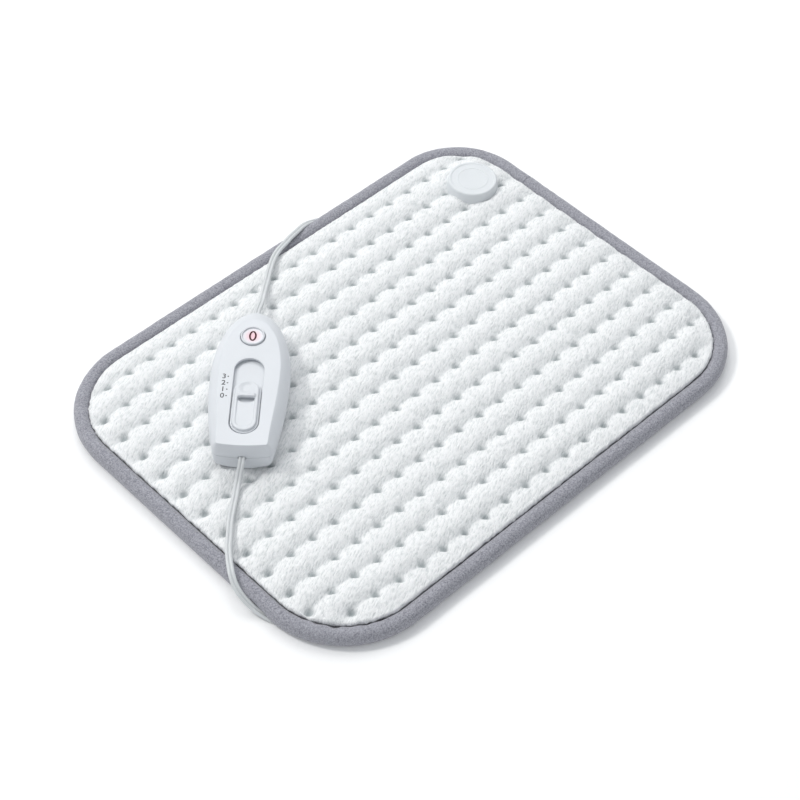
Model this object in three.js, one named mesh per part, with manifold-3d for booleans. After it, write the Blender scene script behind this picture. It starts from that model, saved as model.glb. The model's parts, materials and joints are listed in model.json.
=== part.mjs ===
// Heating pad with a corded slide controller.
// Millimetres, +Z up. X runs along the pad's long side, Y along its short side.
// The origin is on the table, under the middle of the pad.
import * as THREE from 'three';
import { mergeVertices } from 'three/addons/utils/BufferGeometryUtils.js';
import Module from 'manifold-3d';

const wasm = await Module();
wasm.setup();

// Clearance between neighbouring pieces
const CLEARANCE = 0.3;

// Pad: outline and rolled edge
const PAD_LENGTH = 440;
const PAD_WIDTH = 330;
const CORNER_RADIUS = 72;
const PUCK_CORNER_RADIUS = 60;
const BINDING_WIDTH = 12;
const BINDING_HEIGHT = 13;
const BINDING_FOOT = 4;
const GROOVE_FLOOR = 7;
const GROOVE_DEPTH = 4.5;

// Pad: layers, from the table up
const UNDERSIDE_HEIGHT = 10.6;
const BOTTOM_COVER_THICKNESS = 1.2;
const CARRIER_THICKNESS = 0.6;
const CARRIER_INSET = 36;
const PLUSH_UNDER_TUFT = 0.8;
const PLUSH_BETWEEN_TUFTS = 4.3;
const COVER_EDGE = 1.2;
const COVER_SLOPE = 14;

// Pad: sewn tufts
const TUFT_PITCH_X = 20.3;
const TUFT_PITCH_Y = 22.8;
const TUFT_SHIFT_X = -5.3;
const TUFT_SHIFT_Y = -2.4;
const TUFT_RADIUS = 6;
const QUILT_INSET = 18;
const QUILT_MARGIN = 1.5;
const EDGE_PUFF = 1.4;

// Pad: heating wire
const WIRE_DIAMETER = 1.2;
const WIRE_RUNS = 8;
const WIRE_MARGIN_X = 45;
const WIRE_MARGIN_Y = 45;
const WIRE_END_RADIUS = 8;

// Puck: the round connector housing clamped through the pad
const PUCK_FROM_RIGHT = 48.6;
const PUCK_FROM_BACK = 62.65;
const PUCK_DIAMETER = 43;
const PUCK_TOP_DIAMETER = 38;
const PUCK_HEIGHT = 6.2;
const PUCK_BOTTOM = 1.2;
const PUCK_WALL = 2;
const PUCK_NECK_DIAMETER = 35;
const PUCK_SCREW_CIRCLE = 22;
const PUCK_LEAD_HEIGHT = 5;
const PUCK_LEAD_ANGLE = 225;

// Controller: where it lies on the pad
const CASE_FROM_LEFT = 66.5;
const CASE_Y = 7;
const CASE_HEADING = 44.6;

// Controller: case
const CASE_LENGTH = 134;
const CASE_NEAR_WIDTH = 42.5;
const CASE_FULL_WIDTH = 58.5;
const CASE_FULL_AT = 70;
const CASE_HEIGHT = 24.5;
const TOP_SHELL_HEIGHT = 12.3;
const CASE_WALL = 2;
const BOSS_NEAR_AT = 12;
const BOSS_FROM_END = 30;
const BOSS_SPREAD = 30;
const BOSS_DIAMETER = 6.8;

// Controller: slot and slider
const SLOT_START = 9.9;
const SLOT_TO_LENS = 12.6;
const SLOT_WIDTH = 21.6;
const SLOT_DEPTH = 3.2;
const SLOT_FLOOR = 1.6;
const LEVEL_STEP = 6.1;
const LEVEL_COUNT = 4;
const KNOB_NEAR_GAP = 1.5;
const KNOB_FAR_GAP = 2.7;
const KNOB_SIDE_GAP = 0.8;
const KNOB_PROUD = 0.8;
const RIDGE_FROM_END = 15.8;
const RIDGE_HEIGHT = 2.6;
const STEM_LENGTH = 8;
const STEM_WIDTH = 6.4;
const CARRIAGE_WIDTH = 17;
const CARRIAGE_BEFORE_STEM = 10;
const CARRIAGE_PAST_STEM = 20;
const CARRIAGE_THICKNESS = 2.4;
const DETENT_SPACE = 2.6;

// Controller: level window and board
const LENS_FROM_END = 31.6;
const LENS_DIAMETER = 17.8;
const LENS_PROUD = 1;
const LENS_FLANGE = 1.9;
const BOARD_BELOW_SEAM = 4.2;
const BOARD_THICKNESS = 1.6;
const BOARD_START = 17;
const BOARD_FROM_END = 15;
const BOARD_WIDTH = 34;

// Leads: flat two-core cord
const CORD_WIDTH = 5;
const CORD_THICKNESS = 3;
const CORD_STEP = 12;

// Mains lead: hank, tie and plug
const HANK_FROM_LEFT = 134;
const HANK_Y = -88;
const HANK_RUN = 95;
const HANK_INNER_RADIUS = 15;
const HANK_PITCH = 6.6;
const HANK_WAIST = 6;
const HANK_LAYER_GAP = 0.6;
const TIE_THICKNESS = 0.7;
const TIE_WIDTH = 6;
const PLUG_LENGTH = 30;
const PLUG_WIDTH = 24;
const PLUG_THICKNESS = 9.8;
const PLUG_FROM_LEFT = 108;
const PLUG_Y = -18;
const BLADE_LENGTH = 17;
const BLADE_WIDTH = 6.35;
const BLADE_THICKNESS = 1.5;
const BLADE_SPACING = 12.7;
const RELIEF_LENGTH = 22;

// Heights that follow from the layers
const GROOVE_TOP = GROOVE_FLOOR + 2 * COVER_EDGE + 3 * CLEARANCE;
const BOTTOM_COVER_TOP = UNDERSIDE_HEIGHT + BOTTOM_COVER_THICKNESS;
const CARRIER_BOTTOM = BOTTOM_COVER_TOP + CLEARANCE;
const CARRIER_TOP = CARRIER_BOTTOM + CARRIER_THICKNESS;
const WIRE_Z = CARRIER_TOP + CLEARANCE + WIRE_DIAMETER / 2;
const PLUSH_BOTTOM = WIRE_Z + WIRE_DIAMETER / 2 + CLEARANCE;
const TUFT_Z = PLUSH_BOTTOM + PLUSH_UNDER_TUFT;
const CROWN_Z = PLUSH_BOTTOM + PLUSH_BETWEEN_TUFTS;
const REST_Z = CROWN_Z + CLEARANCE;

// Places that follow from the sizes
const PUCK_X = PAD_LENGTH / 2 - PUCK_FROM_RIGHT;
const PUCK_Y = PAD_WIDTH / 2 - PUCK_FROM_BACK;
const LEFT_EDGE = -PAD_LENGTH / 2;
const CASE_X = LEFT_EDGE + CASE_FROM_LEFT;
const HANK_X = LEFT_EDGE + HANK_FROM_LEFT;
const PLUG_X = LEFT_EDGE + PLUG_FROM_LEFT;
const SEAM_HEIGHT = CASE_HEIGHT - TOP_SHELL_HEIGHT;
const BOSS_FAR_AT = CASE_LENGTH - BOSS_FROM_END;
const LENS_AT = CASE_LENGTH - LENS_FROM_END;
const SLOT_LENGTH = LENS_AT - LENS_DIAMETER / 2 - SLOT_TO_LENS - SLOT_START;
const SLIDER_TRAVEL = LEVEL_STEP * (LEVEL_COUNT - 1);
const KNOB_START = SLOT_START + KNOB_NEAR_GAP;
const KNOB_LENGTH = SLOT_LENGTH - KNOB_NEAR_GAP - SLIDER_TRAVEL - KNOB_FAR_GAP;
const KNOB_WIDTH = SLOT_WIDTH - 2 * KNOB_SIDE_GAP;
const RECESS_FLOOR = CASE_HEIGHT - SLOT_DEPTH;
const RECESS_UNDER = RECESS_FLOOR - SLOT_FLOOR;
const CARRIAGE_TOP = RECESS_UNDER - CLEARANCE;
const CARRIAGE_BOTTOM = CARRIAGE_TOP - CARRIAGE_THICKNESS;
const SLIT_LENGTH = STEM_LENGTH + SLIDER_TRAVEL + 4 * CLEARANCE;
const SLIT_START = KNOB_START + (SLIDER_TRAVEL + KNOB_LENGTH - SLIT_LENGTH) / 2;
const STEM_START = SLIT_START + 2 * CLEARANCE;
const STEM_MIDDLE = STEM_START + STEM_LENGTH / 2;
const BOARD_HEIGHT = SEAM_HEIGHT - BOARD_BELOW_SEAM;
const BOARD_TOP = BOARD_HEIGHT + BOARD_THICKNESS;
const BOARD_END = CASE_LENGTH - BOARD_FROM_END;
const ON_BOARD = BOARD_TOP + CLEARANCE;

const CORNER_STEPS = 6;
const ROUND_SIDES = 24;
const SMALL_SIDES = 10;
const radians = THREE.MathUtils.degToRad;

// Colours and finishes
const finish = (color, roughness, metalness = 0) => ({ color, roughness, metalness });
const PLUSH = finish(0xf1f3f5, 0.95);
const FELT = finish(0x8b8b95, 0.95);
const FLEECE = finish(0xdfe1e3, 0.95);
const CASE_PLASTIC = finish(0xe3e6ec, 0.4);
const CORD_VINYL = finish(0xe6e9ec, 0.5);
const CLEAR_PLASTIC = finish(0xf4eef0, 0.2);
const RED_LAMP = finish(0xc03040, 0.3);
const BOARD_GREEN = finish(0x2f6b46, 0.6);
const DARK_PLASTIC = finish(0x3a3c40, 0.5);
const STEEL = finish(0xb8bcc0, 0.35, 1);
const BRASS = finish(0xc9a860, 0.35, 1);
const HEATER = finish(0xc4714a, 0.5, 0.4);

const part = new THREE.Group();

// Adds one named piece to a group.
function piece(name, geometry, look, parent = part) {
  const mesh = new THREE.Mesh(geometry, new THREE.MeshStandardMaterial(look));
  mesh.name = name;
  parent.add(mesh);
}

// Closed mesh from vertices and triangles, with its faces turned outwards.
function closedGeometry(vertices, faces) {
  const geometry = new THREE.BufferGeometry();
  const positions = vertices.flatMap((p) => [p.x, p.y, p.z]);
  let volume = 0;
  for (const [a, b, c] of faces) {
    volume += vertices[a].dot(vertices[b].clone().cross(vertices[c]));
  }
  const turned = volume < 0 ? faces.map(([a, b, c]) => [a, c, b]) : faces;
  geometry.setAttribute('position', new THREE.Float32BufferAttribute(positions, 3));
  geometry.setIndex(turned.flat());
  return geometry;
}

// Solid for a boolean, from a closed geometry.
function solidOf(geometry) {
  const bare = geometry.clone();
  bare.deleteAttribute('normal');
  bare.deleteAttribute('uv');
  const merged = mergeVertices(bare, 1e-4);
  const vertProperties = new Float32Array(merged.attributes.position.array);
  const triVerts = new Uint32Array(merged.index.array);
  return new wasm.Manifold(new wasm.Mesh({ numProp: 3, vertProperties, triVerts }));
}

function geometryOf(solid) {
  const mesh = solid.getMesh();
  const geometry = new THREE.BufferGeometry();
  geometry.setAttribute('position', new THREE.BufferAttribute(mesh.vertProperties, 3));
  geometry.setIndex(new THREE.BufferAttribute(mesh.triVerts, 1));
  return geometry;
}

function joined(...geometries) {
  return geometryOf(geometries.map(solidOf).reduce((sum, next) => sum.add(next)));
}

function without(geometry, ...tools) {
  return geometryOf(tools.map(solidOf).reduce((rest, tool) => rest.subtract(tool), solidOf(geometry)));
}

function shared(first, second) {
  return geometryOf(solidOf(first).intersect(solidOf(second)));
}

function box(x0, x1, y0, y1, z0, z1) {
  const geometry = new THREE.BoxGeometry(x1 - x0, y1 - y0, z1 - z0);
  return geometry.translate((x0 + x1) / 2, (y0 + y1) / 2, (z0 + z1) / 2);
}

// Upright cylinder between two heights.
function post(x, y, diameter, z0, z1, sides = SMALL_SIDES) {
  const geometry = new THREE.CylinderGeometry(diameter / 2, diameter / 2, z1 - z0, sides);
  return geometry.rotateX(Math.PI / 2).translate(x, y, (z0 + z1) / 2);
}

// Upright prism on a plan outline.
function prism(outline, z0, z1) {
  const options = { depth: z1 - z0, bevelEnabled: false };
  const geometry = new THREE.ExtrudeGeometry(new THREE.Shape(outline), options);
  return geometry.translate(0, 0, z0);
}

// Body of revolution about Z from [radius, height] pairs that start and end on the axis.
function turned(profile, sides = ROUND_SIDES) {
  const points = profile.map(([radius, height]) => new THREE.Vector2(radius, height));
  const lathe = mergeVertices(bareLathe(points, sides), 1e-4);
  const corners = [];
  for (let i = 0; i < lathe.attributes.position.count; i++) {
    corners.push(new THREE.Vector3().fromBufferAttribute(lathe.attributes.position, i));
  }
  const faces = [];
  for (let i = 0; i < lathe.index.count; i += 3) {
    const face = [lathe.index.getX(i), lathe.index.getX(i + 1), lathe.index.getX(i + 2)];
    if (new Set(face).size === 3) {
      faces.push(face);
    }
  }
  return closedGeometry(corners, faces);
}

function bareLathe(points, sides) {
  const geometry = new THREE.LatheGeometry(points, sides).rotateX(Math.PI / 2);
  geometry.deleteAttribute('normal');
  geometry.deleteAttribute('uv');
  return geometry;
}

// Triangles of a flat cap over a ring of points seen from above.
function capFaces(outline, holes, first) {
  const faces = THREE.ShapeUtils.triangulateShape(outline.slice(), holes.map((hole) => hole.slice()));
  return faces.map((face) => face.map((corner) => corner + first));
}

// Closed body through rings of equal count, capped at its first and last ring.
function stacked(rings) {
  const count = rings[0].length;
  const vertices = rings.flat();
  const faces = capFaces(rings[0], [], 0).map(([a, b, c]) => [a, c, b]);
  for (let level = 0; level + 1 < rings.length; level++) {
    faces.push(...bandFaces(level * count, (level + 1) * count, count));
  }
  faces.push(...capFaces(rings.at(-1), [], (rings.length - 1) * count));
  return closedGeometry(vertices, faces);
}

// Triangles between two closed rings of equal count.
function bandFaces(lower, upper, count) {
  const faces = [];
  for (let i = 0; i < count; i++) {
    const next = (i + 1) % count;
    faces.push([lower + i, lower + next, upper + next], [lower + i, upper + next, upper + i]);
  }
  return faces;
}

const lifted = (outline, z) => outline.map((p) => new THREE.Vector3(p.x, p.y, z));

// Path whose section keeps its flat side level all along.
class LaidPath extends THREE.Curve {
  constructor(points) {
    super();
    this.points = points;
  }

  getPoint(t) {
    const place = t * (this.points.length - 1);
    const before = Math.min(Math.floor(place), this.points.length - 2);
    return this.points[before].clone().lerp(this.points[before + 1], place - before);
  }

  getSpacedPoints() {
    return this.points;
  }

  computeFrenetFrames() {
    const last = this.points.length - 1;
    const tangents = this.points.map((_, i) => {
      const from = this.points[Math.max(i - 1, 0)];
      const to = this.points[Math.min(i + 1, last)];
      return to.clone().sub(from).normalize();
    });
    const up = new THREE.Vector3(0, 0, 1);
    const normals = tangents.map((tangent) => tangent.clone().cross(up).normalize());
    const binormals = tangents.map((tangent, i) => tangent.clone().cross(normals[i]));
    return { tangents, normals, binormals };
  }
}

function swept(points, section) {
  const options = { steps: points.length - 1, extrudePath: new LaidPath(points) };
  return new THREE.ExtrudeGeometry(new THREE.Shape(section), options);
}

// Flat cord section with eight corners, grown on every side by a margin.
function flatSection(margin = 0) {
  const half = CORD_WIDTH / 2 + margin;
  const rise = CORD_THICKNESS / 2 + margin;
  const cutBack = CORD_THICKNESS * 0.3;
  const quarter = [[half, rise - cutBack], [half - cutBack, rise]];
  const across = quarter.map(([x, y]) => [-x, y]).reverse();
  const upper = [...quarter, ...across];
  const lower = upper.map(([x, y]) => [-x, -y]);
  return [...upper, ...lower].map(([x, y]) => new THREE.Vector2(x, y));
}

function roundSection(diameter, sides) {
  const angles = Array.from({ length: sides }, (_, i) => radians((360 * i) / sides));
  const radius = diameter / 2;
  return angles.map((angle) => new THREE.Vector2(radius * Math.cos(angle), radius * Math.sin(angle)));
}

// Pad outline, drawn in from the outer line of the binding.
function padOutline(inset) {
  const points = [];
  for (const [signX, signY, start] of [[1, 1, 0], [-1, 1, 90], [-1, -1, 180], [1, -1, 270]]) {
    const outer = cornerRadius(signX, signY);
    const centreX = signX * (PAD_LENGTH / 2 - outer);
    const centreY = signY * (PAD_WIDTH / 2 - outer);
    for (let i = 0; i <= CORNER_STEPS; i++) {
      const angle = radians(start + (90 * i) / CORNER_STEPS);
      const x = centreX + (outer - inset) * Math.cos(angle);
      points.push(new THREE.Vector2(x, centreY + (outer - inset) * Math.sin(angle)));
    }
  }
  return points;
}

// The corner that the puck lies in is tighter than the others.
function cornerRadius(x, y) {
  return x > 0 && y > 0 ? PUCK_CORNER_RADIUS : CORNER_RADIUS;
}

// Distance inwards from the pad's outer line.
function padInset(x, y) {
  const radius = cornerRadius(x, y);
  const pastX = Math.abs(x) - (PAD_LENGTH / 2 - radius);
  const pastY = Math.abs(y) - (PAD_WIDTH / 2 - radius);
  const corner = Math.hypot(Math.max(pastX, 0), Math.max(pastY, 0));
  return radius - corner - Math.min(Math.max(pastX, pastY), 0);
}

// Leads. A route is a short list of hand-chosen points, joined by one smooth curve.
function laidRoute(points) {
  const curve = new THREE.CatmullRomCurve3(points, false, 'centripetal');
  return curve.getSpacedPoints(Math.round(curve.getLength() / CORD_STEP));
}

const at = (x, y, z) => new THREE.Vector3(x, y, z);
const fromLeft = (x, y, z) => at(LEFT_EDGE + x, y, z);

// Point of the controller, given along it, across it and up from its base.
function onCase(along, across, up) {
  const heading = radians(CASE_HEADING);
  const x = CASE_X + along * Math.cos(heading) - across * Math.sin(heading);
  const y = CASE_Y + along * Math.sin(heading) + across * Math.cos(heading);
  return at(x, y, REST_Z + up);
}

// Point of the puck's lead entry, given outwards from the puck's axis.
function onPuckLead(outwards) {
  const angle = radians(PUCK_LEAD_ANGLE);
  return at(PUCK_X + outwards * Math.cos(angle), PUCK_Y + outwards * Math.sin(angle), PUCK_LEAD_HEIGHT);
}

const MAINS_INNER_END = BOARD_START + CLEARANCE;
const PAD_INNER_END = BOARD_END + CLEARANCE;
const PUCK_LEAD_END = 9;
const HANK_LOWER_Z = 3 * CLEARANCE + TIE_THICKNESS + CORD_THICKNESS / 2;
const HANK_UPPER_Z = HANK_LOWER_Z + CORD_THICKNESS + HANK_LAYER_GAP;
const HANK_LOOPS = 2;
const HANK_OUTER_RADIUS = HANK_INNER_RADIUS + HANK_LOOPS * HANK_PITCH;
const HANK_ENTRY = at(HANK_X - HANK_RUN / 2 - CORD_WIDTH, HANK_Y - HANK_OUTER_RADIUS, HANK_LOWER_Z);

const mainsRoute = laidRoute([
  onCase(MAINS_INNER_END, 0, SEAM_HEIGHT),
  onCase(4, 0, SEAM_HEIGHT),
  onCase(-6, 0, SEAM_HEIGHT - 0.2),
  fromLeft(58.4, 0.4, 27.2),
  fromLeft(52.4, -3.9, 22.6),
  fromLeft(41.8, -12.7, 20.9),
  fromLeft(29.3, -23.3, 20.7),
  fromLeft(18.1, -34.7, 20.5),
  fromLeft(11.2, -42, 19.8),
  fromLeft(5.7, -49.5, 18.2),
  fromLeft(0.5, -57.9, 16.7),
  fromLeft(-2.8, -66.4, 13.8),
  fromLeft(-3.2, -74.1, 10),
  fromLeft(-2, -81.1, 6.4),
  fromLeft(0.3, -89, 3.7),
  fromLeft(4, -97.5, 2.2),
  fromLeft(11, -106, 2),
  fromLeft(25, -113, 2.2),
  fromLeft(52, -116, 2.7),
  HANK_ENTRY.clone().add(at(-14, 0, 0)),
  HANK_ENTRY.clone().add(at(-CLEARANCE, 0, 0)),
]);

const padRoute = laidRoute([
  onCase(PAD_INNER_END, 0, SEAM_HEIGHT),
  onCase(CASE_LENGTH - 3, 0, SEAM_HEIGHT),
  onCase(CASE_LENGTH + 6, 0, SEAM_HEIGHT - 1),
  fromLeft(175.6, 112.2, 28),
  fromLeft(185.7, 121.3, 24),
  fromLeft(195.6, 129.7, 21.4),
  fromLeft(206.8, 138.7, 20.7),
  fromLeft(216.3, 145.7, 20.2),
  fromLeft(226.7, 151.7, 18.6),
  fromLeft(237, 155.6, 17),
  fromLeft(246.5, 158.8, 15.9),
  fromLeft(254.6, 161, 14.8),
  fromLeft(264.3, 164, 12.6),
  fromLeft(272.4, 165.4, 9.6),
  fromLeft(278.5, 166.2, 6.4),
  fromLeft(285, 165.6, 4),
  fromLeft(292, 163.2, 2.6),
  fromLeft(299.5, 158, 2),
  fromLeft(307, 148.5, 2),
  fromLeft(312.5, 132, 2),
  fromLeft(316, 110, 2),
  fromLeft(321, 88, 2),
  at(PUCK_X - 59, PUCK_Y - 29, 2.4),
  at(PUCK_X - 46, PUCK_Y - 37, 3.6),
  onPuckLead(44),
  onPuckLead(36),
  onPuckLead(PUCK_DIAMETER / 2),
  onPuckLead(PUCK_LEAD_END),
]);

// Room for a lead in the soft binding: a snug groove over its top and side, and an open passage below.
function leadGroove(route) {
  const near = route.filter((p) => padInset(p.x, p.y) < BINDING_WIDTH + CORD_STEP);
  const snug = flatSection(2 * CLEARANCE);
  const open = snug.map((p) => new THREE.Vector2(p.x, p.y > 0 ? p.y + CORD_THICKNESS : p.y));
  const over = near.filter((p) => p.z < BINDING_HEIGHT + CORD_THICKNESS);
  const under = near.filter((p) => p.z < BINDING_HEIGHT / 2);
  return [swept(over, snug), swept(under, open)];
}

// Edge binding: a rolled strip with a groove that clasps the rims of both covers.
function edgeBinding() {
  const halfWidth = BINDING_WIDTH / 2;
  const halfHeight = BINDING_HEIGHT / 2;
  const onRoll = (degrees) => {
    const angle = radians(degrees);
    return [halfWidth - halfWidth * Math.cos(angle), halfHeight + halfHeight * Math.sin(angle)];
  };
  const innerRoll = (z) => halfWidth + halfWidth * Math.sqrt(1 - (z / halfHeight - 1) ** 2);
  const section = [
    [halfWidth - BINDING_FOOT / 2, 0],
    ...[-55, -30, 0, 30, 60, 90, 120].map(onRoll),
    [innerRoll(GROOVE_TOP), GROOVE_TOP],
    [BINDING_WIDTH - GROOVE_DEPTH, GROOVE_TOP],
    [BINDING_WIDTH - GROOVE_DEPTH, GROOVE_FLOOR],
    [innerRoll(GROOVE_FLOOR), GROOVE_FLOOR],
    onRoll(230),
    [halfWidth + BINDING_FOOT / 2, 0],
  ];
  const rings = section.map(([inset, z]) => lifted(padOutline(inset), z));
  const count = rings[0].length;
  const faces = rings.flatMap((_, i) => bandFaces(i * count, ((i + 1) % rings.length) * count, count));
  return without(closedGeometry(rings.flat(), faces), ...leadGroove(mainsRoute), ...leadGroove(padRoute));
}

const COVER_RIM_INSET = BINDING_WIDTH - GROOVE_DEPTH + CLEARANCE;
const COVER_BEND_INSET = BINDING_WIDTH + CLEARANCE;
const COVER_FLAT_INSET = BINDING_WIDTH + COVER_SLOPE;
const BOTTOM_RIM_Z = GROOVE_FLOOR + CLEARANCE;
const TOP_RIM_Z = BOTTOM_RIM_Z + COVER_EDGE + CLEARANCE;

function puckHole() {
  const diameter = PUCK_NECK_DIAMETER + 2 * CLEARANCE;
  return post(PUCK_X, PUCK_Y, diameter, 0, REST_Z + PUCK_HEIGHT, ROUND_SIDES);
}

function bottomCover() {
  const rings = [
    [COVER_FLAT_INSET, UNDERSIDE_HEIGHT],
    [COVER_BEND_INSET, BOTTOM_RIM_Z],
    [COVER_RIM_INSET, BOTTOM_RIM_Z],
    [COVER_RIM_INSET, BOTTOM_RIM_Z + COVER_EDGE],
    [COVER_BEND_INSET, BOTTOM_RIM_Z + COVER_EDGE],
    [COVER_FLAT_INSET, BOTTOM_COVER_TOP],
  ];
  return without(stacked(rings.map(([inset, z]) => lifted(padOutline(inset), z))), puckHole());
}

// Points of one tuft cell: the sewn point, and three round it where the plush is at its full height.
const TUFT_POINTS = {
  tuft: [0, 0],
  left: [-TUFT_RADIUS * Math.cos(Math.PI / 6), -TUFT_RADIUS / 2],
  right: [TUFT_RADIUS * Math.cos(Math.PI / 6), -TUFT_RADIUS / 2],
  top: [0, TUFT_RADIUS],
};

// Triangles of one tuft cell, each corner as a point's name, a column and a row.
// The first three are the pit.
const TUFT_FACES = [
  [['left', 0, 0], ['right', 0, 0], ['tuft', 0, 0]],
  [['right', 0, 0], ['top', 0, 0], ['tuft', 0, 0]],
  [['top', 0, 0], ['left', 0, 0], ['tuft', 0, 0]],
  [['right', 0, 0], ['left', 1, 0], ['top', 0, 0]],
  [['left', 1, 0], ['top', 1, 0], ['top', 0, 0]],
  [['top', 0, 0], ['right', 0, 1], ['left', 0, 1]],
  [['top', 0, 0], ['top', 1, 0], ['right', 0, 1]],
  [['top', 1, 0], ['left', 1, 1], ['right', 0, 1]],
];
const PIT_FACES = 3;

// Triangles of the quilted area, with each corner as its point.
function quiltFaces() {
  const corner = (name, column, row) => {
    const x = TUFT_SHIFT_X + (column + 0.5) * TUFT_PITCH_X + TUFT_POINTS[name][0];
    const y = TUFT_SHIFT_Y + row * TUFT_PITCH_Y + TUFT_POINTS[name][1];
    const rise = THREE.MathUtils.smoothstep(padInset(x, y), BINDING_WIDTH, COVER_FLAT_INSET);
    return at(x, y, name === 'tuft' ? TUFT_Z : CROWN_Z - EDGE_PUFF * (1 - rise));
  };
  const inside = (p) => padInset(p.x, p.y) > QUILT_INSET + QUILT_MARGIN;
  const reachX = Math.ceil(PAD_LENGTH / TUFT_PITCH_X / 2) + 1;
  const reachY = Math.ceil(PAD_WIDTH / TUFT_PITCH_Y / 2) + 1;
  const faces = [];
  for (let column = -reachX; column < reachX; column++) {
    for (let row = -reachY; row < reachY; row++) {
      const cell = TUFT_FACES.map((face) => face.map(([name, c, r]) => corner(name, column + c, row + r)));
      const pit = cell.slice(0, PIT_FACES);
      const pitInside = pit.flat().every(inside);
      faces.push(...(pitInside ? pit : []), ...cell.slice(PIT_FACES).filter((face) => face.every(inside)));
    }
  }
  return faces;
}

// Outline of a patch of triangles, in order along their edges that no other triangle shares.
function patchOutline(faces) {
  const onward = new Map();
  for (const face of faces) {
    face.forEach((from, i) => {
      const to = face[(i + 1) % 3];
      if (!onward.delete(`${to}>${from}`)) {
        onward.set(`${from}>${to}`, [from, to]);
      }
    });
  }
  const follow = new Map(onward.values());
  const outline = [];
  let corner = follow.keys().next().value;
  while (outline.length < follow.size) {
    outline.push(corner);
    corner = follow.get(corner);
  }
  return outline;
}

// Top cover: plush with a drawn-in rim, a puffed edge and sewn tufts.
function topCover() {
  const rings = [
    [COVER_FLAT_INSET, PLUSH_BOTTOM],
    [COVER_BEND_INSET, TOP_RIM_Z],
    [COVER_RIM_INSET, TOP_RIM_Z],
    [COVER_RIM_INSET, TOP_RIM_Z + COVER_EDGE],
    [COVER_BEND_INSET, TOP_RIM_Z + COVER_EDGE],
    [COVER_BEND_INSET + CLEARANCE, TUFT_Z - EDGE_PUFF / 2],
    [QUILT_INSET, CROWN_Z - EDGE_PUFF],
  ].map(([inset, z]) => lifted(padOutline(inset), z));
  const count = rings[0].length;
  const vertices = rings.flat();
  const faces = capFaces(rings[0], [], 0).map(([a, b, c]) => [a, c, b]);
  for (let level = 0; level + 1 < rings.length; level++) {
    faces.push(...bandFaces(level * count, (level + 1) * count, count));
  }

  const numbers = new Map();
  const numberOf = (p) => {
    const key = `${p.x.toFixed(3)},${p.y.toFixed(3)}`;
    if (!numbers.has(key)) {
      numbers.set(key, vertices.length);
      vertices.push(p);
    }
    return numbers.get(key);
  };
  const quilt = quiltFaces().map((face) => face.map(numberOf));
  faces.push(...quilt);

  // The margin between the puffed edge and the quilted area
  const rim = Array.from({ length: count }, (_, i) => (rings.length - 1) * count + i);
  const hole = patchOutline(quilt).reverse();
  const seenFromAbove = (members) => members.map((n) => new THREE.Vector2(vertices[n].x, vertices[n].y));
  const members = [...rim, ...hole];
  for (const face of capFaces(seenFromAbove(rim), [seenFromAbove(hole)], 0)) {
    faces.push(face.map((corner) => members[corner]));
  }
  return without(closedGeometry(vertices, faces), puckHole());
}

function heaterCarrier() {
  return without(prism(padOutline(CARRIER_INSET), CARRIER_BOTTOM, CARRIER_TOP), puckHole());
}

// Heating wire: one run after another, from the puck's back side round to its front side.
function heatingWire() {
  const top = PUCK_Y + PUCK_NECK_DIAMETER / 2 + WIRE_END_RADIUS + WIRE_DIAMETER;
  const bottom = -PAD_WIDTH / 2 + WIRE_MARGIN_Y;
  const pitch = (top - bottom) / (WIRE_RUNS - 1);
  const turn = pitch / 2;
  const left = -PAD_LENGTH / 2 + WIRE_MARGIN_X + turn;
  const right = PUCK_X - PUCK_DIAMETER / 2 - turn - WIRE_END_RADIUS;
  const inner = PUCK_NECK_DIAMETER / 2 - PUCK_LEAD_END - 2 * PUCK_WALL;
  const arc = (x, y, radius, from, to, steps) => Array.from({ length: steps + 1 }, (_, i) => {
    const angle = radians(from + ((to - from) * i) / steps);
    return at(x + radius * Math.cos(angle), y + radius * Math.sin(angle), WIRE_Z);
  });
  const end = WIRE_END_RADIUS;
  const points = [at(PUCK_X, PUCK_Y + inner, WIRE_Z), ...arc(PUCK_X - end, top - end, end, 0, 90, 4)];
  for (let run = 0; run + 1 < WIRE_RUNS; run++) {
    const middle = top - pitch * (run + 0.5);
    const turnAtLeft = run % 2 === 0;
    points.push(...arc(turnAtLeft ? left : right, middle, turn, 90, turnAtLeft ? 270 : -90, 6));
  }
  points.push(...arc(PUCK_X - end, bottom + end, end, -90, 0, 4), at(PUCK_X, PUCK_Y - inner, WIRE_Z));
  return swept(points, roundSection(WIRE_DIAMETER, 6));
}

piece('edge_binding', edgeBinding(), FELT);
piece('bottom_cover', bottomCover(), FLEECE);
piece('heater_carrier', heaterCarrier(), FLEECE);
piece('heating_wire', heatingWire(), HEATER);
piece('top_cover', topCover(), PLUSH);

// Puck
const puck = new THREE.Group();
puck.position.set(PUCK_X, PUCK_Y, 0);
part.add(puck);

const PUCK_RADIUS = PUCK_DIAMETER / 2;
const NECK_RADIUS = PUCK_NECK_DIAMETER / 2;
const PUCK_FLOOR = PUCK_BOTTOM + PUCK_WALL;
const PUCK_SHOULDER = UNDERSIDE_HEIGHT - CLEARANCE;
const PUCK_TOP = REST_Z + PUCK_HEIGHT;
const PUCK_CEILING = PUCK_TOP - PUCK_WALL;
const PUCK_BOSS = 7.2;
const PUCK_SCREW = 2.8;
const PUCK_HEAD = 5.2;
const PUCK_HEAD_TOP = PUCK_FLOOR + CLEARANCE;
const PUCK_PART = PUCK_SHOULDER + CLEARANCE;
const NECK_TOP = REST_Z + PUCK_WALL;

const puckScrewPlaces = [60, 180, 300].map((degrees) => {
  const angle = radians(degrees);
  return [(PUCK_SCREW_CIRCLE / 2) * Math.cos(angle), (PUCK_SCREW_CIRCLE / 2) * Math.sin(angle)];
});

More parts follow.
